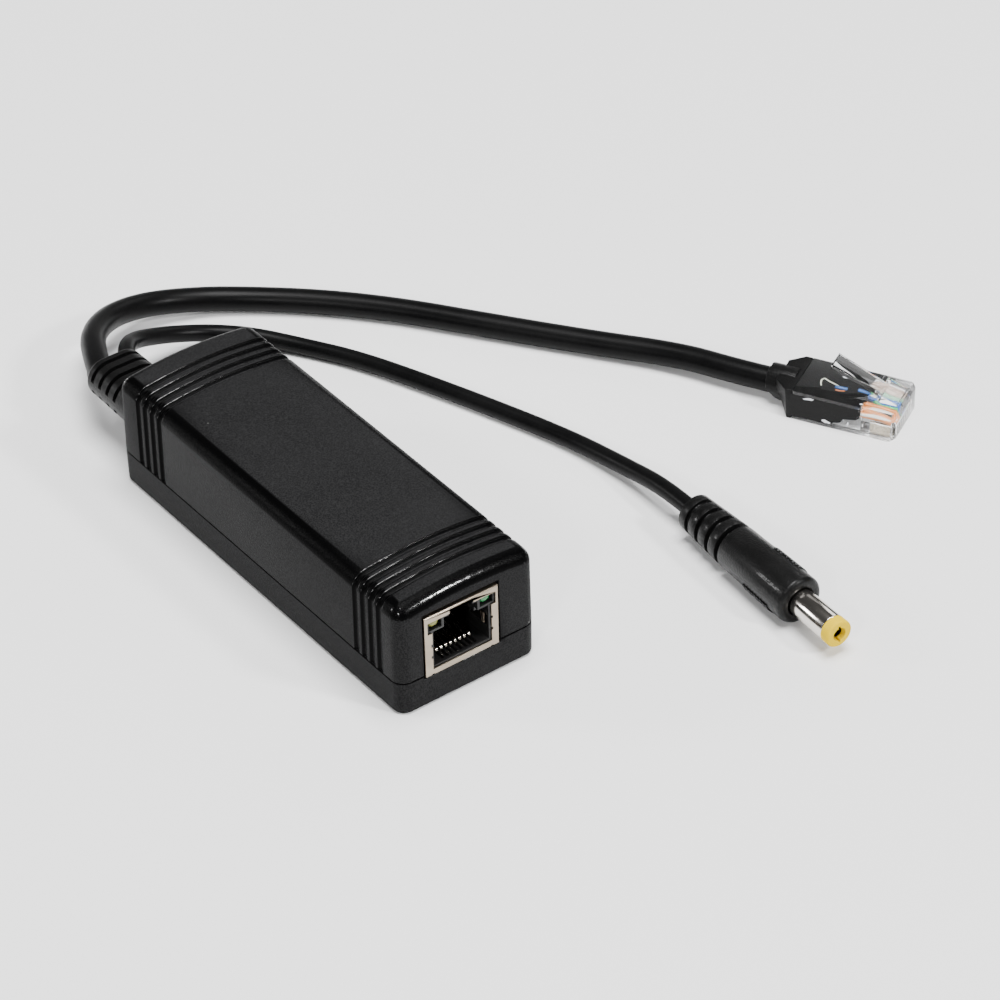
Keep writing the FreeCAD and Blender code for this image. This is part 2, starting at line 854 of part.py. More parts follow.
def make_board_parts():
    """Every plain part on the board, row by row from the jack to the strain relief."""
    moulded_block(
        "network_transformer",
        jack_centre,
        magnetics_row + mm.magnetics_length / 2 - half_length,
        mm.magnetics_width,
        mm.magnetics_length,
        mm.magnetics_height,
    )
    bridges = []
    for i in range(2):
        y = magnetics_row + (mm.bridge_length + mm.row_gap) * i - half_length
        sizes = (mm.bridge_width, mm.bridge_length, mm.bridge_height)
        bridges.append(box(f"bridge_{i}", right_edge - mm.bridge_width, y, board_top, *sizes))
    group("bridge_rectifiers", bridges)
    can_x = right_edge - mm.capacitor_radius
    can_y = transformer_row + mm.capacitor_radius - half_length
    keep(can("input_capacitor", can_x, can_y), "input_capacitor")
    moulded_block(
        "controller_chip",
        right_edge - mm.chip_width / 2,
        transformer_row + can_width + mm.part_gap + mm.chip_length / 2 - half_length,
        mm.chip_width,
        mm.chip_length,
        mm.chip_height,
    )
    moulded_block(
        "optocoupler",
        coupler_x,
        output_row + mm.coupler_length / 2 - half_length,
        mm.coupler_width,
        mm.coupler_length,
        mm.coupler_height,
    )
    moulded_block(
        "output_diode",
        diode_x,
        output_row + mm.diode_length / 2 - half_length,
        mm.diode_width,
        mm.diode_length,
        mm.diode_height,
    )
    apart = mm.capacitor_radius + mm.part_gap
    can_y = can_row + mm.capacitor_radius - half_length
    pair = [can(f"output_capacitor_{i}", side * apart, can_y) for i, side in enumerate((-1, 1))]
    group("output_capacitors", pair)


def make_power_transformer():
    """A bobbin with its winding, held in a ferrite core of three legs."""
    x = core_width / 2 - right_edge
    y = transformer_row + core_length / 2 - half_length
    base, past = board_top, mm.cut_margin
    top = base + mm.bobbin_height
    half_long = mm.bobbin_length / 2
    tube_half = mm.bobbin_tube / 2
    axis = base + mm.bobbin_height / 2
    leg_half = mm.core_leg / 2
    bobbin = new_body("transformer_bobbin")
    outer = rectangle(x - mm.bobbin_width / 2, x + mm.bobbin_width / 2, base, top)
    cheek = new_sketch(bobbin, "XZ_Plane", [outer], offset=half_long - y)
    feature(bobbin, "Pad", cheek, True, Length=mm.bobbin_length)
    around = [
        rectangle(x - mm.bobbin_width, x - tube_half, base - past, top + past),
        rectangle(x + tube_half, x + mm.bobbin_width, base - past, top + past),
    ]
    waist = new_sketch(bobbin, "XZ_Plane", around, offset=half_long - mm.bobbin_flange - y)
    feature(bobbin, "Pocket", waist, Length=mm.bobbin_length - mm.bobbin_flange * 2)
    over = [
        rectangle(x - tube_half - past, x + tube_half + past, axis + tube_half, top + past),
        rectangle(x - tube_half - past, x + tube_half + past, base - past, axis - tube_half),
    ]
    above = new_sketch(bobbin, "XZ_Plane", over, offset=half_long - mm.bobbin_flange - y)
    feature(bobbin, "Pocket", above, Length=mm.bobbin_length - mm.bobbin_flange * 2)
    bore_half = leg_half + mm.mould_clearance
    bore = rectangle(x - bore_half, x + bore_half, axis - bore_half, axis + bore_half)
    through = new_sketch(bobbin, "XZ_Plane", [bore], offset=half_long - y)
    feature(bobbin, "Pocket", through, Length=mm.bobbin_length)

    winding = new_body("transformer_winding")
    wound = mm.bobbin_height / 2 - mm.winding_gap
    turns_outer = rectangle(x - wound, x + wound, axis - wound, axis + wound, mm.winding_gap * 2)
    fit = mm.jack_fit
    turns_inner = rectangle(
        x - tube_half - fit, x + tube_half + fit, axis - tube_half - fit, axis + tube_half + fit
    )
    lay = half_long - mm.bobbin_flange - mm.winding_gap / 4
    ring = new_sketch(winding, "XZ_Plane", [turns_outer, turns_inner], offset=lay - y)
    feature(winding, "Pad", ring, True, Length=lay * 2)

    core = new_body("transformer_core")
    back = half_long + mm.mould_clearance
    outside = mm.bobbin_width / 2 + mm.mould_clearance
    half_core = core_length / 2
    frame = rectangle(x - core_width / 2, x + core_width / 2, y - half_core, y + half_core)
    rooms = [
        rectangle(x - outside, x - leg_half, y - back, y + back),
        rectangle(x + leg_half, x + outside, y - back, y + back),
    ]
    plan = new_sketch(core, "XY_Plane", [frame, *rooms], offset=axis - leg_half)
    feature(core, "Pad", plan, Length=mm.core_leg)


def make_choke():
    """A drum of ferrite with a winding in its waist."""
    x, y, base = choke_x, output_row + mm.choke_radius - half_length, board_top
    lower = cylinder("choke_lower", x, y, base, mm.choke_radius, mm.choke_cheek)
    waist = cylinder("choke_waist", x, y, base, mm.choke_waist, mm.choke_height)
    upper = cylinder(
        "choke_upper", x, y, base + mm.choke_height - mm.choke_cheek, mm.choke_radius, mm.choke_cheek
    )
    drum = doc.addObject("Part::MultiFuse", "choke_drum")
    drum.Shapes = [lower, waist, upper]
    keep(drum, "choke_core")
    fit = mm.jack_fit
    tall = mm.choke_height - mm.choke_cheek * 2 - fit * 2
    wound = cylinder("choke_wound", x, y, base + mm.choke_cheek + fit, mm.choke_winding, tall)
    hole = cylinder("choke_hole", x, y, base + mm.choke_cheek, mm.choke_waist + fit, mm.choke_height)
    winding = doc.addObject("Part::Cut", "choke_turns")
    winding.Base = wound
    winding.Tool = hole
    keep(winding, "choke_winding")


# Jack


def make_jack_shield():
    """A folded sheet: front plate with its keyed mouth, roof, sides, back, legs and fingers."""
    body = new_body("jack_shield")
    sheet_inside = mm.jack_width / 2 - mm.sheet_thickness
    left, right = jack_centre - sheet_inside, jack_centre + sheet_inside
    face = rectangle(jack_left, jack_right, board_top, board_top + mm.jack_height)
    front = new_sketch(body, "XZ_Plane", [face], offset=-jack_front)
    block = feature(body, "Pad", front, True, Length=mm.jack_depth)
    rim = at_front(jack_front)
    soften(body, block, "Fillet", mm.fold_radius, rim)
    room = rectangle(
        left, right, jack_front + mm.sheet_thickness, jack_front + mm.jack_depth - mm.sheet_thickness
    )
    below = new_sketch(body, "XY_Plane", [room], offset=board_top)
    feature(body, "Pocket", below, True, Length=mm.jack_height - mm.sheet_thickness)
    centre, base = jack_centre, board_top
    under_flange = base + mm.jack_height - mm.top_flange
    lamp_half = mm.jack_width / 2 - mm.side_flange
    lamp_sill = base + mm.jack_height - mm.lamp_window_drop
    half_mouth = [
        (mouth_half_width, base + mm.bottom_flange),
        (mouth_half_width, lamp_sill),
        (lamp_half, lamp_sill),
        (lamp_half, under_flange),
        (mm.notch_half_width, under_flange),
        (mm.notch_half_width, base + mm.jack_height - mm.sheet_thickness),
    ]
    mouth = [(centre + x, z) for x, z in half_mouth]
    mouth += [(centre - x, z) for x, z in reversed(half_mouth)]
    window = new_sketch(body, "XZ_Plane", [mouth], offset=-jack_front)
    feature(body, "Pocket", window, Length=mm.sheet_thickness * 2)
    nick = mm.sheet_thickness
    nicks = []
    for side in (-1, 1):
        edge = centre + side * mouth_half_width
        for z in (base, base + mm.column_notch_low, base + mm.column_notch_high):
            nicks.append(rectangle(edge - nick, edge + nick, z - nick, z + nick))
    cuts = new_sketch(body, "XZ_Plane", nicks, offset=-jack_front)
    feature(body, "Pocket", cuts, Length=mm.sheet_thickness * 2)
    leg_y = jack_front + mm.shield_leg_inset
    legs = [
        rectangle(x, x + mm.sheet_thickness, leg_y, leg_y + mm.shield_leg_width)
        for x in (jack_left, jack_right - mm.sheet_thickness)
    ]
    standing = new_sketch(body, "XY_Plane", legs, offset=board_top)
    feature(body, "Pad", standing, True, Length=mm.shield_leg_length)
    fingers = []
    for side in (-1, 1):
        wall = centre + side * (sheet_inside + mm.sheet_thickness / 2)
        touch = centre + side * (plug_half_width - mm.finger_reach)
        root = jack_front + mm.finger_root
        tip = jack_front + mm.finger_tip
        fingers.append(
            [
                (wall, root),
                (wall, root + mm.sheet_thickness * 2),
                (touch, tip + mm.sheet_thickness * 3),
                (touch, tip),
                (touch + side * mm.sheet_thickness, tip),
                (touch + side * mm.sheet_thickness, tip + mm.sheet_thickness * 2),
            ]
        )
    bent = new_sketch(body, "XY_Plane", fingers, offset=board_top + mm.finger_bottom)
    feature(body, "Pad", bent, Length=mm.finger_height)


def at_front(y):
    """A test for edges that lie on an upright plane facing the front."""

    def test(edge):
        box_of_edge = edge.BoundBox
        return abs(box_of_edge.YMin - y) < SAME_PLACE and abs(box_of_edge.YMax - y) < SAME_PLACE

    return test


def make_jack_housing():
    """The moulded insert: keyed plug cavity, lamp pockets, spring slots and finger windows."""
    body = new_body("jack_housing")
    centre, base = jack_centre, board_top
    inside = mm.sheet_thickness + mm.jack_fit
    front_y = jack_front + inside
    half = mm.jack_width / 2 - inside
    top = base + mm.jack_height - inside
    block = rectangle(centre - half, centre + half, base, top)
    face = new_sketch(body, "XZ_Plane", [block], offset=-front_y)
    feature(body, "Pad", face, True, Length=mm.jack_depth - inside * 2)

    crown = base + mm.jack_height

    def keyed(ceiling_drop):
        side = [
            (plug_half_width, base + mm.plug_floor),
            (plug_half_width, crown - ceiling_drop),
            (mm.latch_half_width, crown - ceiling_drop),
            (mm.latch_half_width, crown - mm.latch_ceiling_drop),
            (mm.notch_half_width, crown - mm.latch_ceiling_drop),
            (mm.notch_half_width, crown),
        ]
        return [(centre + x, z) for x, z in side] + [(centre - x, z) for x, z in reversed(side)]

    steps = ((mm.mouth_ceiling_drop, mm.mouth_depth), (mm.plug_ceiling_drop, plug_depth))
    for ceiling_drop, depth in steps:
        cavity = new_sketch(body, "XZ_Plane", [keyed(ceiling_drop)], offset=-front_y)
        feature(body, "Pocket", cavity, Length=depth - inside)
    pocket_half = mm.lamp_radius + mm.jack_fit
    pockets = [
        rectangle(
            centre + side * lamp_spread - pocket_half,
            centre + side * lamp_spread + pocket_half,
            crown - mm.lamp_drop - pocket_half,
            crown - mm.lamp_drop + pocket_half,
        )
        for side in (-1, 1)
    ]
    lamps = new_sketch(body, "XZ_Plane", pockets, offset=-front_y)
    feature(body, "Pocket", lamps, Length=mm.lamp_pocket_depth - inside)
    sunk = base - mm.cut_margin
    slot = [
        (jack_front + mm.slot_front, base + mm.slot_floor),
        (jack_front + tail_near - mm.slot_width, base + mm.slot_floor),
        (jack_front + tail_near - mm.slot_width, sunk),
        (jack_front + tail_far + mm.slot_width, sunk),
        (jack_front + tail_far + mm.slot_width, base + mm.plug_floor + mm.jack_fit),
        (jack_front + mm.slot_front, base + mm.plug_floor + mm.jack_fit),
    ]
    lane = new_sketch(body, "YZ_Plane", [slot], offset=jack_centre - first_lane)
    groove = feature(body, "Pocket", lane, midplane=True, Length=mm.slot_width)
    repeat(body, groove, "X_Axis", mm.lane_count, mm.lane_spacing)
    windows = []
    window_front = front_y + mm.sheet_thickness * 2
    window_back = jack_front + mm.finger_root + mm.cut_margin
    for side in (-1, 1):
        inner = centre + side * (plug_half_width - mm.jack_fit)
        outer = centre + side * (half + mm.cut_margin)
        windows.append(rectangle(*sorted((inner, outer)), window_front, window_back))
    opened = new_sketch(
        body, "XY_Plane", windows, offset=base + mm.finger_bottom - mm.mould_clearance
    )
    feature(body, "Pocket", opened, True, Length=mm.finger_height + mm.mould_clearance * 2)


def make_lamp(name, side):
    """A small round lamp with a domed front, lying along Y in its pocket."""
    body = new_body(name)
    profile = [
        (0.0, 0.0),
        (0.0, mm.lamp_radius, mm.lamp_dome),
        (mm.lamp_length, mm.lamp_radius),
        (mm.lamp_length, 0.0),
    ]
    turned = new_sketch(body, "XY_Plane", [profile])
    feature(body, "Revolution", turned, Angle=360.0)
    place_x = jack_centre + side * lamp_spread
    place_y = jack_front + mm.lamp_recess
    put(body, place_x, place_y, board_top + mm.jack_height - mm.lamp_drop, 90.0)


# Paths with round turns, for cords, wires and springs


def rounded_path(points, radii):
    """Straight runs through points, joined by tangent arcs of the given radii."""
    edges = []
    start = points[0]
    for i in range(1, len(points) - 1):
        back = (points[i - 1] - points[i]).normalize()
        ahead = (points[i + 1] - points[i]).normalize()
        half_angle = back.getAngle(ahead) / 2
        trim = radii[i - 1] / math.tan(half_angle)
        arrive, leave = points[i] + back * trim, points[i] + ahead * trim
        inward = (back + ahead).normalize()
        middle = points[i] + inward * (radii[i - 1] / math.sin(half_angle) - radii[i - 1])
        edges.append(Part.LineSegment(start, arrive).toShape())
        edges.append(Part.Arc(arrive, middle, leave).toShape())
        start = leave
    edges.append(Part.LineSegment(start, points[-1]).toShape())
    return Part.Wire(edges)


def swept(path, profile):
    """A solid made by moving a closed flat profile along a path."""
    return path.makePipeShell([profile], True, False)


def round_profile(path, radius):
    edge = path.Edges[0]
    start = edge.valueAt(edge.FirstParameter)
    circle = Part.Circle(start, edge.tangentAt(edge.FirstParameter), float(radius))
    return Part.Wire([circle.toShape()])


def shaped(name, shape):
    made = doc.addObject("Part::Feature", name)
    made.Shape = shape
    return keep(made, name)


def arc_radii(points):
    """The largest arcs that the two runs beside each turn leave room for."""
    radii = []
    for i in range(1, len(points) - 1):
        back, ahead = points[i] - points[i - 1], points[i + 1] - points[i]
        shorter = min(back.Length, ahead.Length)
        radii.append(ARC_SHARE * shorter / math.tan(back.getAngle(ahead) / 2))
    return radii


def make_jack_springs():
    """Flat springs: a tail through the board, a run along the slot, a loop and a sloping arm."""
    base = board_top
    lift = base + mm.slot_floor + mm.spring_thickness / 2 + mm.jack_fit
    springs = []
    for x, tail in lane_places():
        heights_along = [
            (tail, base - mm.tail_length),
            (tail, lift),
            (mm.spring_bend, lift),
            (mm.spring_bend, lift + mm.spring_loop),
            (plug_depth - mm.spring_end_gap, base + mm.spring_rise),
        ]
        points = [Vector(x, jack_front + along, height) for along, height in heights_along]
        path = rounded_path(points, [mm.spring_bend_radius] * 3)
        half, deep = mm.spring_width / 2, mm.spring_thickness / 2
        start = points[0]
        corners = [(-half, -deep), (half, -deep), (half, deep), (-half, deep), (-half, -deep)]
        profile = Part.makePolygon([start + Vector(a, b, 0) for a, b in corners])
        springs.append(swept(path, profile))
    shaped("jack_contacts", Part.Compound(springs))


# Strain relief and what passes through it


def cord_exit(shift, route):
    """Where a cord leaves the strain relief: the tip, the way out and the end of its lip."""
    tip = Vector(boot_x + shift, boot_tip, boot_z)
    way = (Vector(*route[0]) - tip).normalize()
    return tip, way, tip + way * mm.cord_lip


def make_cable_boot():
    body = new_body("cable_boot")
    x, z = boot_x, boot_z

    def section(wide, tall, radius):
        return rectangle(x - wide / 2, x + wide / 2, z - tall / 2, z + tall / 2, radius)

    oval = section(mm.boot_width, mm.boot_thickness, mm.boot_thickness / 2 - mm.mould_clearance)
    outer_face = half_length + mm.mould_clearance
    inner_face = inner_half_length - mm.mould_clearance
    trunk = feature(
        body,
        "Pad",
        new_sketch(body, "XZ_Plane", [oval], offset=-outer_face),
        True,
        Length=boot_tip - outer_face,
        TaperAngle=-mm.boot_taper_angle,
    )
    soften(body, trunk, "Fillet", mm.boot_edge, at_front(boot_tip))
    neck = section(mm.neck_width, mm.neck_thickness, mm.neck_radius)
    feature(
        body,
        "Pad",
        new_sketch(body, "XZ_Plane", [neck], offset=-inner_face),
        True,
        Length=outer_face - inner_face,
    )
    flange = section(mm.boot_width, mm.flange_height, mm.neck_radius)
    feature(
        body,
        "Pad",
        new_sketch(body, "XZ_Plane", [flange], offset=-flange_face),
        True,
        Length=mm.flange_thickness,
    )
    past = mm.cut_margin
    wide, tall = mm.boot_width / 2, mm.boot_thickness / 2
    core_wide, core_tall = wide - mm.boot_slot_depth, tall - mm.boot_slot_depth
    core_radius = core_tall - mm.boot_band - mm.mould_clearance
    for side in (-1, 1):
        outline = [
            (x - wide - past, z + side * mm.boot_band),
            (x - core_wide, z + side * mm.boot_band),
            (x - core_wide, z + side * core_tall, core_radius),
            (x + core_wide, z + side * core_tall, core_radius),
            (x + core_wide, z + side * mm.boot_band),
            (x + wide + past, z + side * mm.boot_band),
            (x + wide + past, z + side * (tall + past)),
            (x - wide - past, z + side * (tall + past)),
        ]
        slot_y = boot_tip - mm.boot_slot_inset
        slot = feature(
            body,
            "Pocket",
            new_sketch(body, "XZ_Plane", [outline], offset=-slot_y),
            Length=mm.boot_slot_width,
        )
        repeat(body, slot, "Y_Axis", mm.boot_slot_count, mm.boot_slot_spacing, True)
    for shift, radius, route in (
        (mm.network_cord_shift, mm.network_cord_radius, NETWORK_ROUTE),
        (mm.power_cord_shift, mm.power_cord_radius, POWER_ROUTE),
    ):
        tip, way, end = cord_exit(shift, route)
        lip = body.newObject("PartDesign::AdditiveCylinder", "cord_lip")
        bind(lip, Radius=radius + mm.cord_lip_wall, Height=mm.cord_lip * 2)
        turned = FreeCAD.Rotation(Vector(0, 0, 1), way)
        lip.Placement = FreeCAD.Placement(tip - way * mm.cord_lip, turned)
        doc.recompute()


def lead(x, height, landing):
    """One wire from the strain relief's flange down to the board, as points."""
    return [
        Vector(x, flange_face, height),
        Vector(x, landing, height),
        Vector(x, landing, board_top),
    ]


def make_inner_leads():
    data_x = boot_x + mm.network_cord_shift
    power_x = boot_x + mm.power_cord_shift
    near = flange_face - mm.lead_reach
    data = []
    in_row = int(mm.lane_count) // 2
    for side, landing in ((1, near - mm.lead_row_step), (-1, near)):
        height = boot_z + side * mm.data_wire_row / 2
        for column in range(in_row):
            x = data_x + mm.data_wire_spacing * (column - (in_row - 1) / 2)
            path = rounded_path(lead(x, height, landing), [mm.wire_bend])
            data.append(swept(path, round_profile(path, mm.data_wire_radius)))
    shaped("inner_data_wires", Part.Compound(data))
    for name, side in (("inner_positive_wire", -1), ("inner_negative_wire", 1)):
        x = power_x + side * mm.power_wire_spread
        path = rounded_path(lead(x, boot_z, near), [mm.wire_bend])
        shaped(name, swept(path, round_profile(path, mm.power_wire_radius)))


def make_cord(name, start, route, plug_end, plug_way, last_run, radius):
    """A cord along its route, and a line that says how tightly it turns."""
    points = [start, *(Vector(x, y, max(z, radius)) for x, y, z in route)]
    points += [plug_end - plug_way * last_run, plug_end]
    radii = arc_radii(points)
    path = rounded_path(points, radii)
    tube = swept(path, round_profile(path, radius))
    expected = math.pi * float(radius) ** 2 * path.Length
    tight = ", ".join(f"{r:.1f}" for r in radii)
    print(f"{name}: length {path.Length:.1f} mm, volume {tube.Volume / expected:.4f} of section x length")
    print(f"{name}: arc radii {tight} mm, diameter {2 * float(radius):.2f} mm")
    shaped(name, tube)


def make_cords():
    heading = math.radians(mm.network_plug_heading)
    way = Vector(math.cos(heading), math.sin(heading), 0)
    place = Vector(mm.network_plug_x, mm.network_plug_y, mm.collar_axis)
    make_cord(
        "network_cable",
        cord_exit(mm.network_cord_shift, NETWORK_ROUTE)[2],
        NETWORK_ROUTE,
        place - way * mm.collar_length,
        way,
        NETWORK_LAST_RUN,
        mm.network_cord_radius,
    )
    heading = math.radians(mm.power_plug_heading)
    way = Vector(math.cos(heading), math.sin(heading), 0)
    make_cord(
        "power_cable",
        cord_exit(mm.power_cord_shift, POWER_ROUTE)[2],
        POWER_ROUTE,
        Vector(mm.power_plug_x, mm.power_plug_y, mm.grip_radius),
        way,
        POWER_LAST_RUN,
        mm.power_cord_radius,
    )


# Network plug, made along +X from its shoulder and then put in its place


def put_network(thing):
    return put(thing, mm.network_plug_x, mm.network_plug_y, 0.0, mm.network_plug_heading)


def make_plug_boot():
    """The overmould: collar round the cord, sloping shoulders, rear block and tongue."""
    body = new_body("plug_boot")
    half, tall = mm.network_plug_width / 2, mm.network_plug_height
    collar = new_sketch(
        body, "YZ_Plane", circles=[(0.0, mm.collar_axis, mm.collar_radius)], offset=-mm.collar_length
    )
    feature(body, "Pad", collar, Length=mm.collar_length + mm.collar_overrun)
    narrow = mm.shoulder_width / 2
    shoulders = [
        (-mm.shoulder_length, -narrow),
        (0.0, -half),
        (mm.plug_rim, -half),
        (mm.plug_rim, half),
        (0.0, half),
        (-mm.shoulder_length, narrow),
    ]
    plan = new_sketch(body, "XY_Plane", [shoulders])
    feature(body, "Pad", plan, Length=tall)
    skin, clear = mm.plug_skin, mm.insert_clearance
    tongue = rectangle(-half + skin + clear, half - skin - clear, skin + clear, tall - skin - clear)
    filled = new_sketch(body, "YZ_Plane", [tongue])
    feature(body, "Pad", filled, Length=insert_end)
    put_network(body)


def make_plug_body():
    """The clear body: cable room, wire channel, blade slots, chamfered nose and latch."""
    body = new_body("plug_body")
    half, tall, nose = mm.network_plug_width / 2, mm.network_plug_height, mm.network_plug_nose
    profile = [
        (mm.plug_rim, 0.0),
        (nose - mm.nose_chamfer, 0.0),
        (nose, mm.nose_chamfer),
        (nose, tall - mm.nose_chamfer),
        (nose - mm.nose_chamfer / 2, tall),
        (mm.plug_rim, tall),
    ]
    side = new_sketch(body, "XZ_Plane", [profile])
    feature(body, "Pad", side, midplane=True, Length=mm.network_plug_width)
    skin = mm.plug_skin
    room = rectangle(-half + skin, half - skin, skin, tall - skin)
    rear = new_sketch(body, "YZ_Plane", [room], offset=mm.plug_rim)
    feature(body, "Pocket", rear, True, Length=insert_end + mm.insert_clearance - mm.plug_rim)
    low = mm.wire_axis - mm.data_wire_radius - mm.insert_clearance
    high = mm.wire_axis + mm.data_wire_radius + mm.insert_clearance
    channel_half = first_lane + mm.data_wire_radius + mm.insert_clearance
    channel = rectangle(-channel_half, channel_half, low, high)
    lanes = new_sketch(body, "YZ_Plane", [channel], offset=insert_end)
    feature(body, "Pocket", lanes, True, Length=wire_end + mm.insert_clearance - insert_end)
    blade_end = blade_start + mm.blade_length
    slot = rectangle(
        blade_start - mm.insert_clearance,
        blade_end + mm.insert_clearance,
        -mm.cut_margin,
        low + mm.insert_clearance,
    )
    cut = new_sketch(body, "XZ_Plane", [slot], offset=first_lane)
    one = feature(body, "Pocket", cut, midplane=True, Length=mm.blade_slot_width)
    repeat(body, one, "Y_Axis", mm.lane_count, mm.lane_spacing)
    thick = mm.latch_thickness
    shoulder_height = tall + mm.latch_shoulder_length * latch_slope
    hinge = [
        (latch_root, tall - thick / 2),
        (latch_root + thick / 3, tall - thick / 4),
        (latch_root, tall + thick / 4),
        (latch_shoulder, shoulder_height + thick / 4),
        (latch_shoulder, shoulder_height - thick),
        (latch_root - thick * 2, tall - thick / 2),
    ]
    wide = new_sketch(body, "XZ_Plane", [hinge])
    feature(body, "Pad", wide, midplane=True, Length=mm.latch_width)
    tip_height = tall + mm.latch_rise
    tail = [
        (latch_shoulder + thick, shoulder_height - thick),
        (latch_shoulder + thick, shoulder_height - latch_slope * thick),
        (latch_tip, tip_height),
        (latch_tip, tip_height - mm.latch_tip_thickness),
        (latch_shoulder, shoulder_height - thick),
    ]
    lever = new_sketch(body, "XZ_Plane", [tail])
    feature(body, "Pad", lever, midplane=True, Length=mm.latch_tail_width)
    put_network(body)


WIRE_COLOURS = (
    "white_orange",
    "orange",
    "white_green",
    "blue",
    "white_blue",
    "green",
    "white_brown",
    "brown",
)


def make_plug_wires_and_blades():
    blades = []
    wire_bottom = mm.wire_axis - mm.data_wire_radius
    start = insert_end + mm.insert_clearance
    for lane, colour in enumerate(WIRE_COLOURS):
        y = mm.lane_spacing * (lane - (mm.lane_count - 1) / 2)
        wire = Part.makeCylinder(
            float(mm.data_wire_radius),
            float(wire_end - start),
            Vector(start, y, mm.wire_axis),
            Vector(1, 0, 0),
        )
        put_network(shaped(f"{colour}_wire", wire))
        blade = Part.makeBox(
            float(mm.blade_length),
            float(mm.blade_width),
            float(wire_bottom - mm.blade_inset),
            Vector(blade_start, y - mm.blade_width / 2, mm.blade_inset),
        )
        blades.append(blade)
    put_network(shaped("plug_contacts", Part.Compound(blades)))


# Power plug, turned about +X from its strain relief's tip and then put in its place


def put_power(thing):
    return put(thing, mm.power_plug_x, mm.power_plug_y, mm.grip_radius, mm.power_plug_heading)


def turned_body(name, profile):
    body = new_body(name)
    outline = new_sketch(body, "XY_Plane", [profile])
    feature(body, "Revolution", outline, Angle=360.0)
    return body


def make_power_grip():
    """The overmould: slotted strain relief with two side bands, then the tapering grip."""
    fit = mm.turned_fit
    slope = (mm.grip_start_radius - mm.relief_tip_radius) / relief_length
    core = mm.relief_tip_radius - mm.relief_slot_depth
    profile = [(0.0, 0.0), (0.0, mm.relief_tip_radius, mm.boot_edge)]
    for i in range(int(mm.relief_slot_count)):
        near = mm.relief_slot_start + mm.relief_slot_spacing * i
        far = near + mm.relief_slot_width
        profile += [
            (near, mm.relief_tip_radius + slope * near),
            (near, core),
            (far, core),
            (far, mm.relief_tip_radius + slope * far),
        ]
    profile += [
        (grip_end, mm.grip_radius, mm.grip_edge),
        (grip_end, flange_radius + fit),
        (barrel_start - fit, flange_radius + fit),
        (barrel_start - fit, 0.0),
    ]
    body = turned_body("power_plug_grip", profile)
    band = [
        (mm.boot_edge, 0.0),
        (mm.boot_edge, mm.relief_tip_radius + slope * mm.boot_edge),
        (relief_length, mm.grip_start_radius),
        (relief_length, 0.0),
    ]
    side = new_sketch(body, "XY_Plane", [band])
    rib = feature(body, "Revolution", side, midplane=True, Angle=mm.relief_band_angle)
    mirrored = body.newObject("PartDesign::Mirrored", "other_band")
    mirrored.Originals = [rib]
    mirrored.MirrorPlane = (origin_part(body, "XZ_Plane"), [""])
    body.Tip = mirrored
    doc.recompute()
    put_power(body)


def make_power_contacts():
    fit = mm.turned_fit
    barrel = turned_body(
        "power_plug_barrel",
        [
            (barrel_start, barrel_bore),
            (barrel_start, flange_radius),
            (barrel_shoulder, flange_radius),
            (barrel_shoulder, mm.barrel_radius),
            (barrel_end, mm.barrel_radius),
            (barrel_end, barrel_bore),
        ],
    )
    put_power(barrel)
    face = barrel_end + mm.tip_length
    tip = turned_body(
        "power_plug_tip",
        [
            (barrel_start, tip_bore),
            (barrel_start, barrel_bore - fit),
            (barrel_end, barrel_bore - fit),
            (barrel_end, mm.barrel_radius),
            (face, mm.barrel_radius, mm.tip_edge),
            (face, tip_bore),
        ],
    )
    wide, long = mm.tip_slot_width / 2, mm.tip_slot_length / 2
    slot = rectangle(-wide, wide, -long, long)
    across = new_sketch(tip, "YZ_Plane", [slot], offset=face)
    feature(tip, "Pocket", across, Length=mm.tip_slot_depth)
    put_power(tip)
    outer = tip_bore - fit
    sleeve = turned_body(
        "power_plug_sleeve",
        [
            (barrel_start, outer - mm.sleeve_wall),
            (barrel_start, outer),
            (face - mm.sleeve_recess, outer),
            (face - mm.sleeve_recess, outer - mm.sleeve_wall),
        ],
    )
    put_power(sleeve)


def check_and_write():
    """Stop if anything failed to build, then write one file for each node."""
    doc.recompute()
    failed = [thing.Name for thing in doc.Objects if {"Invalid", "Error"} & set(thing.State)]
    if failed:
        raise RuntimeError(f"these failed to build: {failed}")
    for node in nodes:
        if node.Shape.isNull() or not node.Shape.isValid():
            raise RuntimeError(f"{node.Label} has no valid shape")
    os.makedirs("parts", exist_ok=True)
    for node in nodes:
        node.Shape.exportStep(f"parts/{node.Label}.step")
    print(f"{len(nodes)} nodes written")


make_top_cover()
make_bottom_tray()
make_circuit_board()
make_board_parts()
make_power_transformer()
make_choke()
make_jack_shield()
make_jack_housing()
make_jack_springs()
make_lamp("activity_lamp", -1)
make_lamp("link_lamp", 1)
make_cable_boot()
make_inner_leads()
make_cords()
make_plug_boot()
make_plug_body()
make_plug_wires_and_blades()
make_power_grip()
make_power_contacts()
check_and_write()
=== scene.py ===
"""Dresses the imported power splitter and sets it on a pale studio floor.

The case, jack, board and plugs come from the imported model. This script adds the cords, the
finer pieces and every finish. Lengths are in metres.
"""

from __future__ import annotations

import logging
import math
from dataclasses import dataclass
from enum import Enum

import bmesh
import bpy
from mathutils import Matrix, Vector


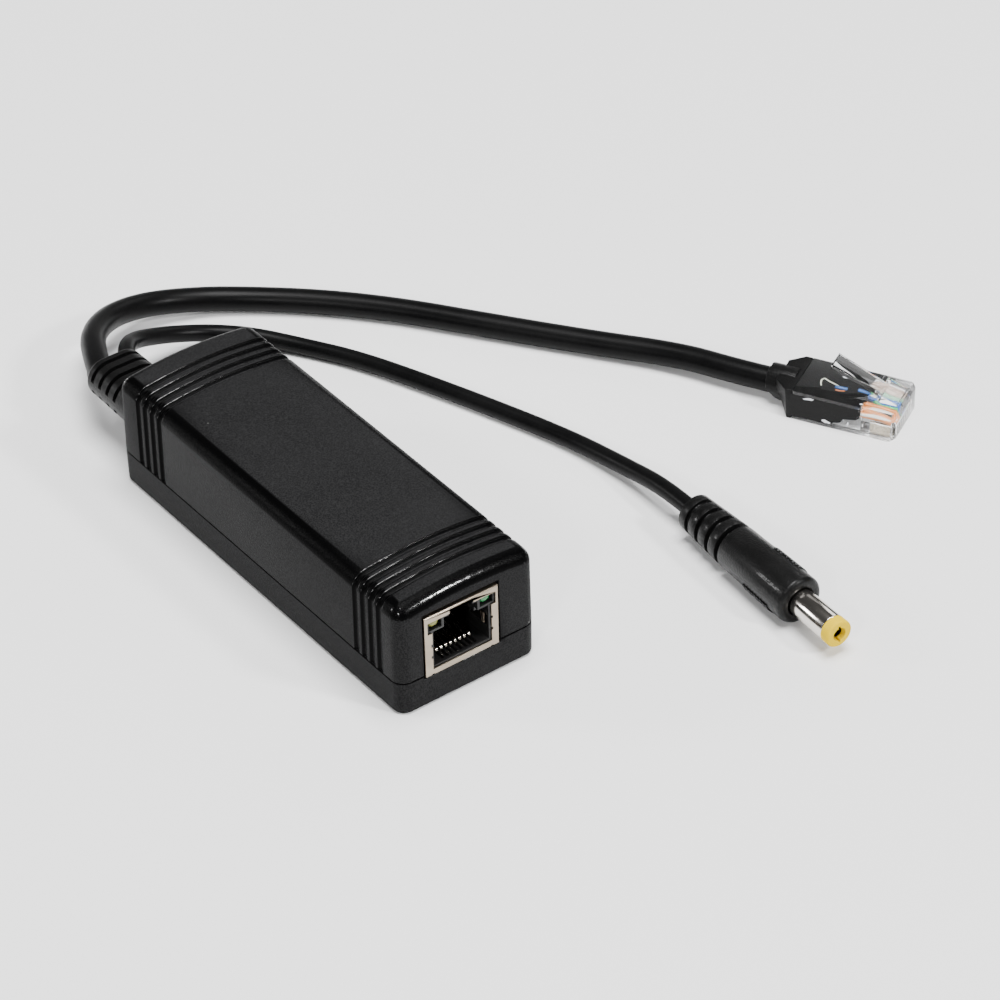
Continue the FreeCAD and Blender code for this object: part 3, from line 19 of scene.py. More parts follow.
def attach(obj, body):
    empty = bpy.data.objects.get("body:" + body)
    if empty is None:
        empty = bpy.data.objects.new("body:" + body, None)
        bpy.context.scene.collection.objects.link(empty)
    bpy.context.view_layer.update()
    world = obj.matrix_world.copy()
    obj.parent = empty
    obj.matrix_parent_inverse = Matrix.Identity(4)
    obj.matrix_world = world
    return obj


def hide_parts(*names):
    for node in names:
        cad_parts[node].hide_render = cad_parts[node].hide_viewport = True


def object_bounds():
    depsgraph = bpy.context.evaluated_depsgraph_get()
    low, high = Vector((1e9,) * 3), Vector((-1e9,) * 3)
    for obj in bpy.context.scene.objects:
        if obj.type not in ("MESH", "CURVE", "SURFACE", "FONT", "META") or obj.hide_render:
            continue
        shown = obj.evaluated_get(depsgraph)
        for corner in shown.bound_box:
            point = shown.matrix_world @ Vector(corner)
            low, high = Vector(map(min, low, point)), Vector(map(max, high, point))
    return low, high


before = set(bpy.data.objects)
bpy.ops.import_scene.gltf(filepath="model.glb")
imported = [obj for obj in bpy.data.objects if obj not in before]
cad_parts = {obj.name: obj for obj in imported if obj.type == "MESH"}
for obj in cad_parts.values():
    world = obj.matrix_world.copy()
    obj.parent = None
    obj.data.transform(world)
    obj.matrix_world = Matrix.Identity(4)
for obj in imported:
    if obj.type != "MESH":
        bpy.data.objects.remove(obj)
CAD_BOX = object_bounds()

log = logging.getLogger("splitter")

Colour = tuple[float, float, float]
Place = tuple[float, float, float]
Pair = tuple[float, float]
Node = bpy.types.Node
Outputs = bpy.types.NodeOutputs
Piece = bpy.types.Object
Socket = bpy.types.NodeSocket
Sockets = dict[str, bpy.types.NodeSocket]

MM = 0.001
SAME_POINT = 0.000002
FLAT_ANGLE = math.radians(0.4)
SHARP_ANGLE = math.radians(24.0)
NETWORK_HEADING = 299.0
POWER_HEADING = 267.2
NUMBER = "NodeSocketFloat"
VECTOR = "NodeSocketVector"
COAT_GLOSS = 0.13
# Colour of the pale specks that are painted glints on dark plastic.
GLINT_SPECK_COLOUR = (0.12, 0.12, 0.115)

# Mark of a face: 1 is polished, -1 is textured and keeps its colour free of the painted shade, and
# 0 leaves it to the face's direction, where tilted faces get painted shade.
POLISH = "polish"


class Slot(str, Enum):
    """The record's material slots."""

    CASE = "case_plastic"
    BOARD = "board_laminate"
    SHIELD = "plated_steel"
    JACK = "jack_plastic"
    GOLD = "gold_contact"
    YELLOW_LAMP = "yellow_lamp"
    GREEN_LAMP = "green_lamp"
    RESIN = "black_resin"
    CAN = "can_aluminium"
    FERRITE = "ferrite"
    TAPE = "winding_tape"
    COPPER = "copper"
    OVERMOULD = "overmould"
    SLEEVING = "wire_sleeving"
    RED = "red_insulation"
    BLACK = "black_insulation"
    JACKET = "cord_jacket"
    CLEAR = "clear_plastic"
    NICKEL = "nickel"
    YELLOW_TIP = "yellow_tip"


class Canvas:
    """Adds nodes to one node tree and joins them."""

    def __init__(self, tree: bpy.types.NodeTree) -> None:
        """Start on an empty tree."""
        self.tree = tree
        tree.nodes.clear()

    def add(self, kind: str, settings: dict | None = None, **inputs: object) -> Node:
        """Add one node.

        Args:
            kind: The node's type name.
            settings: Properties of the node itself.
            inputs: Sockets by name, with spaces written as underscores; a socket joins.

        Returns:
            The new node.
        """
        node = self.tree.nodes.new(kind)
        for name, value in (settings or {}).items():
            setattr(node, name, value)
        return self.fill(node, **inputs)

    def fill(self, node: Node, **inputs: object) -> Node:
        """Join or set a node's sockets, named as in add, and return the node."""
        for name, value in inputs.items():
            self.feed(node.inputs[name.replace("_", " ")], value)
        return node

    def feed(self, socket: Socket, value: object) -> None:
        """Join a socket to another, or set it to a plain value."""
        if isinstance(value, Socket):
            self.tree.links.new(value, socket)
        else:
            socket.default_value = value

    def mix(self, share: object, first: object, second: object) -> Socket:
        """Blend two colours.

        Args:
            share: How much of the second shows, a number or a socket.
            first: A colour or a socket.
            second: A colour or a socket.

        Returns:
            The colour that comes out.
        """
        node = self.tree.nodes.new("ShaderNodeMix")
        node.data_type = "RGBA"
        for index, value in ((0, share), (6, first), (7, second)):
            if isinstance(value, tuple):
                value = (*value, 1.0)
            self.feed(node.inputs[index], value)
        return node.outputs[2]

    def work(self, operation: str, *values: object) -> Socket:
        """One Math node.

        Args:
            operation: The node's operation.
            values: Numbers or sockets.

        Returns:
            The result.
        """
        node = self.tree.nodes.new("ShaderNodeMath")
        node.operation = operation
        for socket, value in zip(node.inputs, values):
            self.feed(socket, value)
        return node.outputs[0]

    def span(self, value: object, low: float, high: float, to_low: float, to_high: float) -> Socket:
        """Map a number from one range to another, held within its ends.

        Args:
            value: The number or socket.
            low: Start of the range read.
            high: End of the range read.
            to_low: What the start becomes.
            to_high: What the end becomes.

        Returns:
            The mapped number.
        """
        return self.add(
            "ShaderNodeMapRange", Value=value, From_Min=low, From_Max=high,
            To_Min=to_low, To_Max=to_high,
        ).outputs[0]

    def bump(self, height: Socket, depth: float) -> Socket:
        """Return the normals of a pattern of heights, by its depth in metres."""
        return self.add(
            "ShaderNodeBump", Height=height, Strength=1.0, Distance=depth
        ).outputs[0]

    def bands(
        self, place: Socket, scale: float, bent: float = 0.0
    ) -> Socket:
        """Return level bands, by their scale and how far they are bent."""
        return self.add(
            "ShaderNodeTexWave", {"bands_direction": "Z"},
            Vector=place, Scale=scale, Distortion=bent,
        ).outputs[1]


class EffectGroup:
    """A shader node group that puts out a pattern which several finishes share.

    Its inputs have a name and a default, which is None for a vector. All outputs are numbers.
    """

    name = "effect"
    inputs: tuple[tuple[str, float | None], ...] = ()
    outputs: tuple[str, ...] = ("Mask",)

    @classmethod
    def tree(cls) -> bpy.types.NodeTree:
        """Return the group's tree, built on the first call."""
        made = bpy.data.node_groups.get(cls.name)
        if made:
            return made
        made = bpy.data.node_groups.new(cls.name, "ShaderNodeTree")
        canvas = Canvas(made)
        for name, value in cls.inputs:
            kind = VECTOR if value is None else NUMBER
            socket = made.interface.new_socket(name, in_out="INPUT", socket_type=kind)
            if value is not None:
                socket.default_value = value
        for name in cls.outputs:
            made.interface.new_socket(name, in_out="OUTPUT", socket_type=NUMBER)
        entry = canvas.add("NodeGroupInput")
        canvas.add("NodeGroupOutput", **cls.draw(canvas, entry.outputs))
        return made

    @classmethod
    def draw(cls, canvas: Canvas, given: Outputs) -> Sockets:
        """Draw the pattern.

        Args:
            canvas: Where the nodes go.
            given: The group's inputs.

        Returns:
            One socket for each output name.
        """
        raise NotImplementedError

    @classmethod
    def place(cls, canvas: Canvas, **inputs: object) -> Outputs:
        """Place the group in a material.

        Args:
            canvas: The material's canvas.
            inputs: Values or sockets for the group's inputs.

        Returns:
            The group node's outputs.
        """
        return canvas.add("ShaderNodeGroup", {"node_tree": cls.tree()}, **inputs).outputs


class SparkGrain(EffectGroup):
    """The fine pebbled texture that a spark-eroded mould leaves on plastic."""

    name = "spark_grain"
    inputs = (("Vector", None), ("Scale", 4000.0))
    outputs = ("Height", "Pits")

    @classmethod
    def draw(cls, canvas: Canvas, given: Outputs) -> Sockets:
        """Mix pebbles with a finer noise. See EffectGroup.draw for the arguments and result."""
        at, scale = given["Vector"], given["Scale"]
        pebbles = canvas.add(
            "ShaderNodeTexVoronoi", {"feature": "SMOOTH_F1"}, Vector=at, Scale=scale, Smoothness=0.6
        )
        finer = canvas.work("MULTIPLY", scale, 2.3)
        dust = canvas.add("ShaderNodeTexNoise", Vector=at, Scale=finer, Detail=3.0, Roughness=0.6)
        height = canvas.work("MULTIPLY_ADD", dust.outputs[0], 0.45, pebbles.outputs["Distance"])
        pits = canvas.span(height, 0.42, 0.86, 0.0, 1.0)
        return {"Height": height, "Pits": pits}


class CloudyWear(EffectGroup):
    """Large soft patches, where handling has made a surface a little smoother or duller."""

    name = "cloudy_wear"
    inputs = (("Vector", None), ("Scale", 60.0), ("Contrast", 0.3))

    @classmethod
    def draw(cls, canvas: Canvas, given: Outputs) -> Sockets:
        """Spread one noise about its middle. See EffectGroup.draw for the arguments and result."""
        at, scale = given["Vector"], given["Scale"]
        noise = canvas.add("ShaderNodeTexNoise", Vector=at, Scale=scale, Detail=4.0, Roughness=0.55)
        offset = canvas.work("SUBTRACT", noise.outputs[0], 0.5)
        contrast = canvas.work("MULTIPLY", given["Contrast"], 6.0)
        widened = canvas.work("MULTIPLY_ADD", offset, contrast, 0.5)
        return {"Mask": canvas.span(widened, 0.0, 1.0, 0.0, 1.0)}


class PaintedGlintSpecks(EffectGroup):
    """Sparse pale specks on dark plastic, painted glints of light off its grain."""

    name = "painted_glint_specks"
    inputs = (("Vector", None), ("Scale", 900.0), ("Amount", 0.1))

    @classmethod
    def draw(cls, canvas: Canvas, given: Outputs) -> Sockets:
        """Keep the centres of a few cells. See EffectGroup.draw for the arguments and result."""
        cells = canvas.add("ShaderNodeTexVoronoi", Vector=given["Vector"], Scale=given["Scale"])
        chosen = canvas.add("ShaderNodeSeparateColor", Color=cells.outputs["Color"])
        picked = canvas.work("LESS_THAN", chosen.outputs[0], given["Amount"])
        centre = canvas.span(cells.outputs["Distance"], 0.08, 0.22, 1.0, 0.0)
        return {"Mask": canvas.work("MULTIPLY", picked, centre)}


class MouldedFlats(EffectGroup):
    """Tells the textured flats of a moulding from its polished corners, fillets and grooves, which
    the plastic paints darker as painted shade.
    """

    name = "moulded_flats"
    inputs = (("Normal", None),)

    @classmethod
    def draw(cls, canvas: Canvas, given: Outputs) -> Sockets:
        """Keep faces that lie square. See EffectGroup.draw for the arguments and result."""
        parts = canvas.add("ShaderNodeSeparateXYZ", Vector=given["Normal"])
        sizes = [canvas.work("ABSOLUTE", parts.outputs[i]) for i in range(3)]
        longest = canvas.work("MAXIMUM", canvas.work("MAXIMUM", sizes[0], sizes[1]), sizes[2])
        return {"Mask": canvas.span(longest, 0.968, 0.988, 0.0, 1.0)}


class RollingLines(EffectGroup):
    """Faint parallel lines, as rolling or drawing leaves them along metal."""

    name = "rolling_lines"
    inputs = (("Vector", None), ("Scale", 900.0))
    outputs = ("Height",)

    @classmethod
    def draw(cls, canvas: Canvas, given: Outputs) -> Sockets:
        """Stretch a noise along X. See EffectGroup.draw for the arguments and result."""
        drawn = canvas.add("ShaderNodeVectorMath", {"operation": "MULTIPLY"})
        canvas.feed(drawn.inputs[0], given["Vector"])
        drawn.inputs[1].default_value = (0.06, 1.0, 1.0)
        along, scale = drawn.outputs[0], given["Scale"]
        lines = canvas.add("ShaderNodeTexNoise", Vector=along, Scale=scale, Detail=5.0)
        return {"Height": lines.outputs[0]}


def dimmed(colour: Colour, share: float) -> Colour:
    """Return a share of a colour's light."""
    return tuple(share * part for part in colour)


@dataclass(frozen=True)
class Finish:
    """What one kind of surface looks like. Patterns are laid in Object coordinates.

    Args:
        name: The material's name.
        slot: The record's slot that it stands for. Not used.
        turn: Turn of the pattern about Z, in degrees, to lie along the piece.
    """

    name: str
    slot: Slot | str
    turn: float = 0.0

    def material(self) -> bpy.types.Material:
        """Return the material, built on the first call."""
        made = bpy.data.materials.get(self.name)
        if made:
            return made
        made = bpy.data.materials.new(self.name)
        made.use_nodes = True
        canvas = Canvas(made.node_tree)
        place = canvas.add("ShaderNodeTexCoord").outputs["Object"]
        if self.turn:
            mapped = canvas.add("ShaderNodeMapping", Vector=place)
            mapped.inputs["Rotation"].default_value = (0.0, 0.0, -math.radians(self.turn))
            place = mapped.outputs[0]
        shader = canvas.add("ShaderNodeBsdfPrincipled")
        self.paint(canvas, place, shader)
        canvas.add("ShaderNodeOutputMaterial", Surface=shader.outputs[0])
        return made

    def paint(self, canvas: Canvas, place: Socket, shader: Node) -> None:
        """Feed the shader.

        Args:
            canvas: The material's canvas.
            place: Where on the piece, in metres.
            shader: The Principled shader.
        """
        raise NotImplementedError

    def dress(self, *pieces: Piece) -> None:
        """Put the material on pieces, in their slots or in a new one."""
        made = self.material()
        for piece in pieces:
            if not piece.material_slots:
                piece.data.materials.append(made)
            for held in piece.material_slots:
                held.material = made


@dataclass(frozen=True)
class Plastic(Finish):
    """Opaque plastic or rubber with a grain, cloudy gloss and a few pale specks of painted glint.

    Args:
        colour: Main colour.
        faded_and_glint: Colour where the surface is rubbed or dusty, and of the grain's paler
            speckle, which is partly painted glint.
        gloss: Lowest and highest roughness.
        grain: Pebbles to a metre.
        depth: Depth of the grain in metres.
        glint_share: Share of cells that hold a pale speck, a painted glint.
        clouds: Patches to a metre.
        shine: Specular level, half of it for most plastics.
        polish_with_painted_shade: Whether corners, fillets and grooves are polished and painted
            darker, a painted shade and dark reflection, and only flats textured.
        grain_speckle_and_glint: How far the grain shows in the colour, partly its own tone and
            partly painted glints off it.
        sparkle: How far its crests glint.
    """

    colour: Colour = (0.01, 0.01, 0.01)
    faded_and_glint: Colour = (0.03, 0.03, 0.03)
    gloss: Pair = (0.35, 0.5)
    grain: float = 4000.0
    depth: float = 0.00001
    glint_share: float = 0.0
    clouds: float = 70.0
    shine: float = 0.3
    polish_with_painted_shade: bool = False
    grain_speckle_and_glint: float = 0.35
    sparkle: float = 0.0

    def paint(self, canvas: Canvas, place: Socket, shader: Node) -> None:
        """Feed the shader. See Finish.paint for the arguments."""
        grain = SparkGrain.place(canvas, Vector=place, Scale=self.grain)
        clouds = CloudyWear.place(canvas, Vector=place, Scale=self.clouds, Contrast=0.3)["Mask"]
        shade = canvas.mix(canvas.work("MULTIPLY", clouds, 0.5), self.colour, self.faded_and_glint)
        # The grain is painted paler in the colour: partly the grain's tone, partly painted glints
        # off it.
        shade = canvas.mix(canvas.work("MULTIPLY", grain["Pits"], self.grain_speckle_and_glint), shade, self.faded_and_glint)
        rough = canvas.span(clouds, 0.0, 1.0, *self.gloss)
        if self.polish_with_painted_shade:
            facing = canvas.add("ShaderNodeTexCoord").outputs["Normal"]
            flats = MouldedFlats.place(canvas, Normal=facing)["Mask"]
            marks = canvas.add("ShaderNodeAttribute", {"attribute_name": POLISH}).outputs["Fac"]
            free = canvas.span(marks, -1.0, 0.0, 0.0, 1.0)
            edges = canvas.work("MULTIPLY", canvas.work("SUBTRACT", 1.0, flats), free)
            # Tilted faces not marked textured are painted darker: painted shade in the grooves and
            # a painted dark reflection on the glossy fillets and corners.
            shade = canvas.mix(edges, shade, dimmed(self.colour, 0.4))
            rough = canvas.work("MULTIPLY", rough, canvas.span(edges, 0.0, 1.0, 1.0, 0.7))
            polish = canvas.work("MAXIMUM", marks, 0.0)
            worn = canvas.work("MULTIPLY", polish, canvas.span(grain["Pits"], 0.35, 0.75, 0.0, 1.0))
            canvas.fill(shader, Coat_Weight=worn, Coat_Roughness=COAT_GLOSS)
        if self.sparkle:
            glints = canvas.span(grain["Pits"], 0.6, 0.85, 0.0, self.sparkle)
            canvas.fill(shader, Coat_Weight=glints, Coat_Roughness=COAT_GLOSS)
        # Pale specks of painted glint.
        if self.glint_share:
            specks = PaintedGlintSpecks.place(canvas, Vector=place, Scale=900.0, Amount=self.glint_share)["Mask"]
            shade = canvas.mix(specks, shade, GLINT_SPECK_COLOUR)
        canvas.fill(
            shader, Base_Color=shade, Roughness=rough, Specular_IOR_Level=self.shine,
            Normal=canvas.bump(grain["Height"], self.depth),
        )


@dataclass(frozen=True)
class Metal(Finish):
    """Bare or plated metal with rolling lines and cloudy tarnish.

    Args:
        colour: Clean metal.
        tarnish: Where it has dulled.
        gloss: Lowest and highest roughness.
        lines: Lines to a metre.
        depth: Depth of the lines in metres.
    """

    colour: Colour = (0.7, 0.68, 0.65)
    tarnish: Colour = (0.45, 0.42, 0.38)
    gloss: Pair = (0.2, 0.4)
    lines: float = 2500.0
    depth: float = 0.000002

    def paint(self, canvas: Canvas, place: Socket, shader: Node) -> None:
        """Feed the shader. See Finish.paint for the arguments."""
        lines = RollingLines.place(canvas, Vector=place, Scale=self.lines)["Height"]
        clouds = CloudyWear.place(canvas, Vector=place, Scale=220.0, Contrast=0.35)["Mask"]
        shade = canvas.mix(canvas.work("MULTIPLY", clouds, 0.6), self.colour, self.tarnish)
        rough = canvas.span(canvas.work("ADD", clouds, lines), 0.3, 1.6, *self.gloss)
        normal = canvas.bump(lines, self.depth)
        canvas.fill(shader, Base_Color=shade, Roughness=rough, Normal=normal, Metallic=1.0)


@dataclass(frozen=True)
class Clear(Finish):
    """Clear or tinted plastic with faint flow lines and scuffs.

    Args:
        colour: Tint.
        through: Share of the light that passes.
        gloss: Lowest and highest roughness.
        bend: Index of refraction.
        shade: Share of the light that it keeps from what lies behind it.
    """

    colour: Colour = (0.96, 0.98, 1.0)
    through: float = 1.0
    gloss: Pair = (0.02, 0.12)
    bend: float = 1.5
    shade: float = 0.25

    def paint(self, canvas: Canvas, place: Socket, shader: Node) -> None:
        """Feed the shader. See Finish.paint for the arguments."""
        flow = RollingLines.place(canvas, Vector=place, Scale=500.0)["Height"]
        clouds = CloudyWear.place(canvas, Vector=place, Scale=350.0, Contrast=0.4)["Mask"]
        shade = canvas.mix(clouds, self.colour, dimmed(self.colour, 0.94))
        rough = canvas.span(clouds, 0.2, 1.0, *self.gloss)
        shadow = canvas.add("ShaderNodeLightPath").outputs["Is Shadow Ray"]
        canvas.fill(
            shader, Base_Color=shade, Roughness=rough, Normal=canvas.bump(flow, 0.000008),
            Alpha=canvas.span(shadow, 0.0, 1.0, 1.0, self.shade),
            Transmission_Weight=self.through, IOR=self.bend,
        )


@dataclass(frozen=True)
class Laminate(Finish):
    """Solder mask over glass laminate, with tracks that show through it."""

    def paint(self, canvas: Canvas, place: Socket, shader: Node) -> None:
        """Feed the shader. See Finish.paint for the arguments."""
        kind = {"feature": "DISTANCE_TO_EDGE", "distance": "MANHATTAN"}
        tracks = canvas.add("ShaderNodeTexVoronoi", kind, Vector=place, Scale=330.0)
        line = canvas.span(tracks.outputs["Distance"], 0.10, 0.13, 1.0, 0.0)
        clouds = CloudyWear.place(canvas, Vector=place, Scale=120.0, Contrast=0.3)["Mask"]
        green = canvas.mix(clouds, (0.012, 0.09, 0.035), (0.02, 0.12, 0.05))
        shade = canvas.mix(canvas.work("MULTIPLY", line, 0.5), green, (0.06, 0.26, 0.10))
        rough = canvas.span(clouds, 0.0, 1.0, 0.25, 0.4)
        normal = canvas.bump(line, 0.00002)
        canvas.fill(shader, Base_Color=shade, Roughness=rough, Normal=normal)


@dataclass(frozen=True)
class Backdrop(Finish):
    """Matt pale paper of the studio floor, a little uneven.

    Args:
        colour: Its lightest colour.
        gloss: Lowest and highest roughness.
    """

    colour: Colour = (0.93, 0.93, 0.93)
    gloss: Pair = (0.75, 0.85)

    def paint(self, canvas: Canvas, place: Socket, shader: Node) -> None:
        """Feed the shader. See Finish.paint for the arguments."""
        clouds = CloudyWear.place(canvas, Vector=place, Scale=9.0, Contrast=0.2)["Mask"]
        shade = canvas.mix(clouds, self.colour, dimmed(self.colour, 0.97))
        rough = canvas.span(clouds, 0.0, 1.0, *self.gloss)
        canvas.fill(shader, Base_Color=shade, Roughness=rough, Specular_IOR_Level=0.3)


@dataclass(frozen=True)
class Sleeve(Finish):
    """Thin insulation of one wire, plain or white with a coloured stripe.

    Args:
        colour: Colour of the wire or of its stripe.
        striped: Whether the colour is a stripe on white.
    """

    colour: Colour = (0.8, 0.3, 0.05)
    striped: bool = False

    def paint(self, canvas: Canvas, place: Socket, shader: Node) -> None:
        """Feed the shader. See Finish.paint for the arguments."""
        clouds = CloudyWear.place(canvas, Vector=place, Scale=400.0, Contrast=0.3)["Mask"]
        shade = canvas.mix(clouds, self.colour, dimmed(self.colour, 0.7))
        if self.striped:
            stripe = canvas.span(canvas.bands(place, 220.0), 0.2, 0.3, 0.0, 1.0)
            shade = canvas.mix(stripe, (0.62, 0.60, 0.55), shade)
        grain = SparkGrain.place(canvas, Vector=place, Scale=7000.0)
        rough = canvas.span(clouds, 0.0, 1.0, 0.25, 0.4)
        normal = canvas.bump(grain["Height"], 0.000004)
        canvas.fill(shader, Base_Color=shade, Roughness=rough, Normal=normal)


@dataclass(frozen=True)
class Winding(Finish):
    """Enamelled copper turns, or tape wound over them.

    Args:
        colour: Colour of the crowns.
        gap_shade: Colour between the turns, painted shade where they meet.
        turns: Turns to a metre.
        metal: How metallic it is.
    """

    colour: Colour = (0.6, 0.25, 0.08)
    gap_shade: Colour = (0.1, 0.03, 0.01)
    turns: float = 1500.0
    metal: float = 1.0

    def paint(self, canvas: Canvas, place: Socket, shader: Node) -> None:
        """Feed the shader. See Finish.paint for the arguments."""
        wound = canvas.bands(place, self.turns / 3, 0.3)
        # The turns are painted darker between their crowns: painted shade.
        shade = canvas.mix(wound, self.gap_shade, self.colour)
        rough = canvas.span(wound, 0.0, 1.0, 0.45, 0.25)
        normal = canvas.bump(wound, 0.00008)
        canvas.fill(shader, Base_Color=shade, Roughness=rough, Normal=normal, Metallic=self.metal)


CASE = Plastic(
    "satin_black_case", Slot.CASE, colour=(0.0028, 0.0028, 0.003), faded_and_glint=(0.0185, 0.0185, 0.019),
    gloss=(0.36, 0.46), grain=4200.0, depth=0.00004, glint_share=0.0008, clouds=45.0, shine=0.025,
    polish_with_painted_shade=True, grain_speckle_and_glint=0.95,
)
JACKET = Plastic(
    "satin_cord_jacket", Slot.JACKET, colour=(0.0012, 0.0012, 0.0014), faded_and_glint=(0.005, 0.005, 0.005),
    gloss=(0.3, 0.42), grain=2600.0, depth=0.00001, clouds=120.0, shine=0.09,
)
OVERMOULD = Plastic(
    "soft_overmould", Slot.OVERMOULD, colour=(0.0012, 0.0012, 0.0012), faded_and_glint=(0.006, 0.006, 0.006),
    gloss=(0.26, 0.42), grain=3600.0, depth=0.00004, glint_share=0.01, clouds=160.0, shine=0.13,
    grain_speckle_and_glint=0.6,
)
GRIP = Plastic(
    "grained_grip", Slot.OVERMOULD, colour=(0.001, 0.001, 0.001), faded_and_glint=(0.005, 0.005, 0.005),
    gloss=(0.3, 0.42), grain=3400.0, depth=0.00005, glint_share=0.01, clouds=160.0, shine=0.13,
    grain_speckle_and_glint=0.6, sparkle=0.2,
)
JACK_PLASTIC = Plastic(
    "glass_filled_jack", Slot.JACK, colour=(0.004, 0.004, 0.004), faded_and_glint=(0.01, 0.01, 0.01),
    gloss=(0.25, 0.42), grain=5000.0, depth=0.000006,
)
RESIN = Plastic(
    "moulded_resin", Slot.RESIN, colour=(0.012, 0.012, 0.013), faded_and_glint=(0.04, 0.04, 0.042),
    gloss=(0.45, 0.65), grain=6000.0, depth=0.00001,
)
FERRITE = Plastic(
    "sintered_ferrite", Slot.FERRITE, colour=(0.035, 0.033, 0.032), faded_and_glint=(0.09, 0.085, 0.08),
    gloss=(0.4, 0.6), grain=5000.0, depth=0.00002,
)
SLEEVING = Plastic(
    "wire_sleeving", Slot.SLEEVING, colour=(0.5, 0.49, 0.46), faded_and_glint=(0.62, 0.6, 0.56),
    gloss=(0.3, 0.45), grain=7000.0, depth=0.000004,
)
RED_WIRE = Plastic(
    "red_lead", Slot.RED, colour=(0.45, 0.015, 0.012), faded_and_glint=(0.6, 0.05, 0.03),
    gloss=(0.28, 0.42), grain=7000.0, depth=0.000004,
)
BLACK_WIRE = Plastic(
    "black_lead", Slot.BLACK, colour=(0.012, 0.012, 0.012), faded_and_glint=(0.03, 0.03, 0.03),
    gloss=(0.28, 0.42), grain=7000.0, depth=0.000004,
)
YELLOW_TIP = Plastic(
    "yellow_insulator", Slot.YELLOW_TIP, colour=(0.68, 0.46, 0.0), faded_and_glint=(0.76, 0.53, 0.0),
    gloss=(0.3, 0.42), grain=5200.0, depth=0.000006, clouds=260.0, shine=0.05,
)
# Pale glossy flakes that stand for glints of light on the clear plug: painted highlights.
GLINT_FLAKE_FINISH = Plastic(
    "painted_glint_white", Slot.CLEAR, colour=(0.70, 0.73, 0.78), faded_and_glint=(0.90, 0.91, 0.93),
    gloss=(0.1, 0.25), grain=5200.0, depth=0.00001, clouds=900.0, shine=0.5,
)
SHIELD = Metal(
    "tin_plated_shield", Slot.SHIELD, colour=(0.40, 0.34, 0.265), tarnish=(0.26, 0.21, 0.16),
    gloss=(0.26, 0.42), lines=2600.0,
)
NICKEL = Metal(
    "bright_nickel", Slot.NICKEL, POWER_HEADING, colour=(0.74, 0.70, 0.65),
    tarnish=(0.58, 0.54, 0.49), gloss=(0.10, 0.2), lines=4200.0, depth=0.0000015,
)
GOLD = Metal(
    "gold_flash", Slot.GOLD, colour=(0.80, 0.75, 0.66), tarnish=(0.4, 0.36, 0.29),
    gloss=(0.07, 0.14), lines=5200.0,
)
BLADE = Metal(
    "gold_blade", Slot.GOLD, NETWORK_HEADING, colour=(0.50, 0.44, 0.34), tarnish=(0.22, 0.18, 0.13),
    gloss=(0.18, 0.34), lines=3600.0,
)
CAN = Metal(
    "drawn_aluminium", Slot.CAN, colour=(0.72, 0.73, 0.74), tarnish=(0.58, 0.59, 0.6),
    gloss=(0.25, 0.4), lines=1800.0,
)
CLEAR = Clear(
    "clear_polycarbonate", Slot.CLEAR, NETWORK_HEADING, colour=(0.985, 0.99, 0.995),
    gloss=(0.01, 0.06), bend=1.42,
)
YELLOW_LAMP = Clear(
    "yellow_lamp_epoxy", Slot.YELLOW_LAMP, colour=(0.30, 0.29, 0.06), through=0.35,
    gloss=(0.1, 0.25),
)
GREEN_LAMP = Clear(
    "green_lamp_epoxy", Slot.GREEN_LAMP, colour=(0.03, 0.26, 0.08), through=0.35, gloss=(0.1, 0.25),
)
BOARD = Laminate("green_laminate", Slot.BOARD)
WHITE_SLEEVE = Sleeve(
    "loose_white_sleeve", "white_green_insulation", NETWORK_HEADING, (0.72, 0.75, 0.62)
)
BLUE_SLEEVE = Sleeve(
    "loose_blue_sleeve", "blue_insulation", NETWORK_HEADING, (0.02, 0.11, 0.36)
)
ORANGE_SLEEVE = Sleeve(
    "loose_orange_sleeve", "orange_insulation", NETWORK_HEADING, (0.42, 0.12, 0.035)
)
TAPE = Winding(
    "yellow_tape", Slot.TAPE, colour=(0.75, 0.55, 0.10), gap_shade=(0.55, 0.38, 0.06), turns=300.0,
    metal=0.0,
)
COPPER = Winding("enamelled_copper", Slot.COPPER)


class Route(Enum):
    """Points that each cord passes, from the strain relief to its plug."""

    NETWORK = (
        (-0.0084, 0.062111, 0.011543), (-0.0065, 0.0668, 0.0113), (-0.002, 0.0756, 0.0099),
        (0.006, 0.0821, 0.0074), (0.0158, 0.0842, 0.0049), (0.0256, 0.0816, 0.0032),
        (0.0336, 0.0766, 0.0026), (0.045, 0.0665, 0.00255), (0.0558, 0.0542, 0.00255),
        (0.0671, 0.038, 0.00255), (0.0787, 0.0217, 0.0026), (0.0893, 0.0066, 0.0033),
        (0.094284, -0.004667, 0.00355), (0.097677, -0.010789, 0.00355),
    )
    POWER = (
        (-0.002345, 0.062063, 0.011554), (-0.0005, 0.0656, 0.0114), (0.0032, 0.0695, 0.0096),
        (0.0086, 0.0714, 0.0072), (0.015, 0.0716, 0.005), (0.022, 0.0694, 0.0034),
        (0.0284, 0.0647, 0.0024), (0.034, 0.0572, 0.00175), (0.0404, 0.0463, 0.00175),
        (0.0463, 0.0314, 0.00175), (0.0522, 0.0149, 0.00175), (0.0572, -0.0008, 0.0018),
        (0.0592, -0.0143, 0.0026), (0.05929, -0.02638, 0.0048), (0.05885, -0.03537, 0.0048),
    )


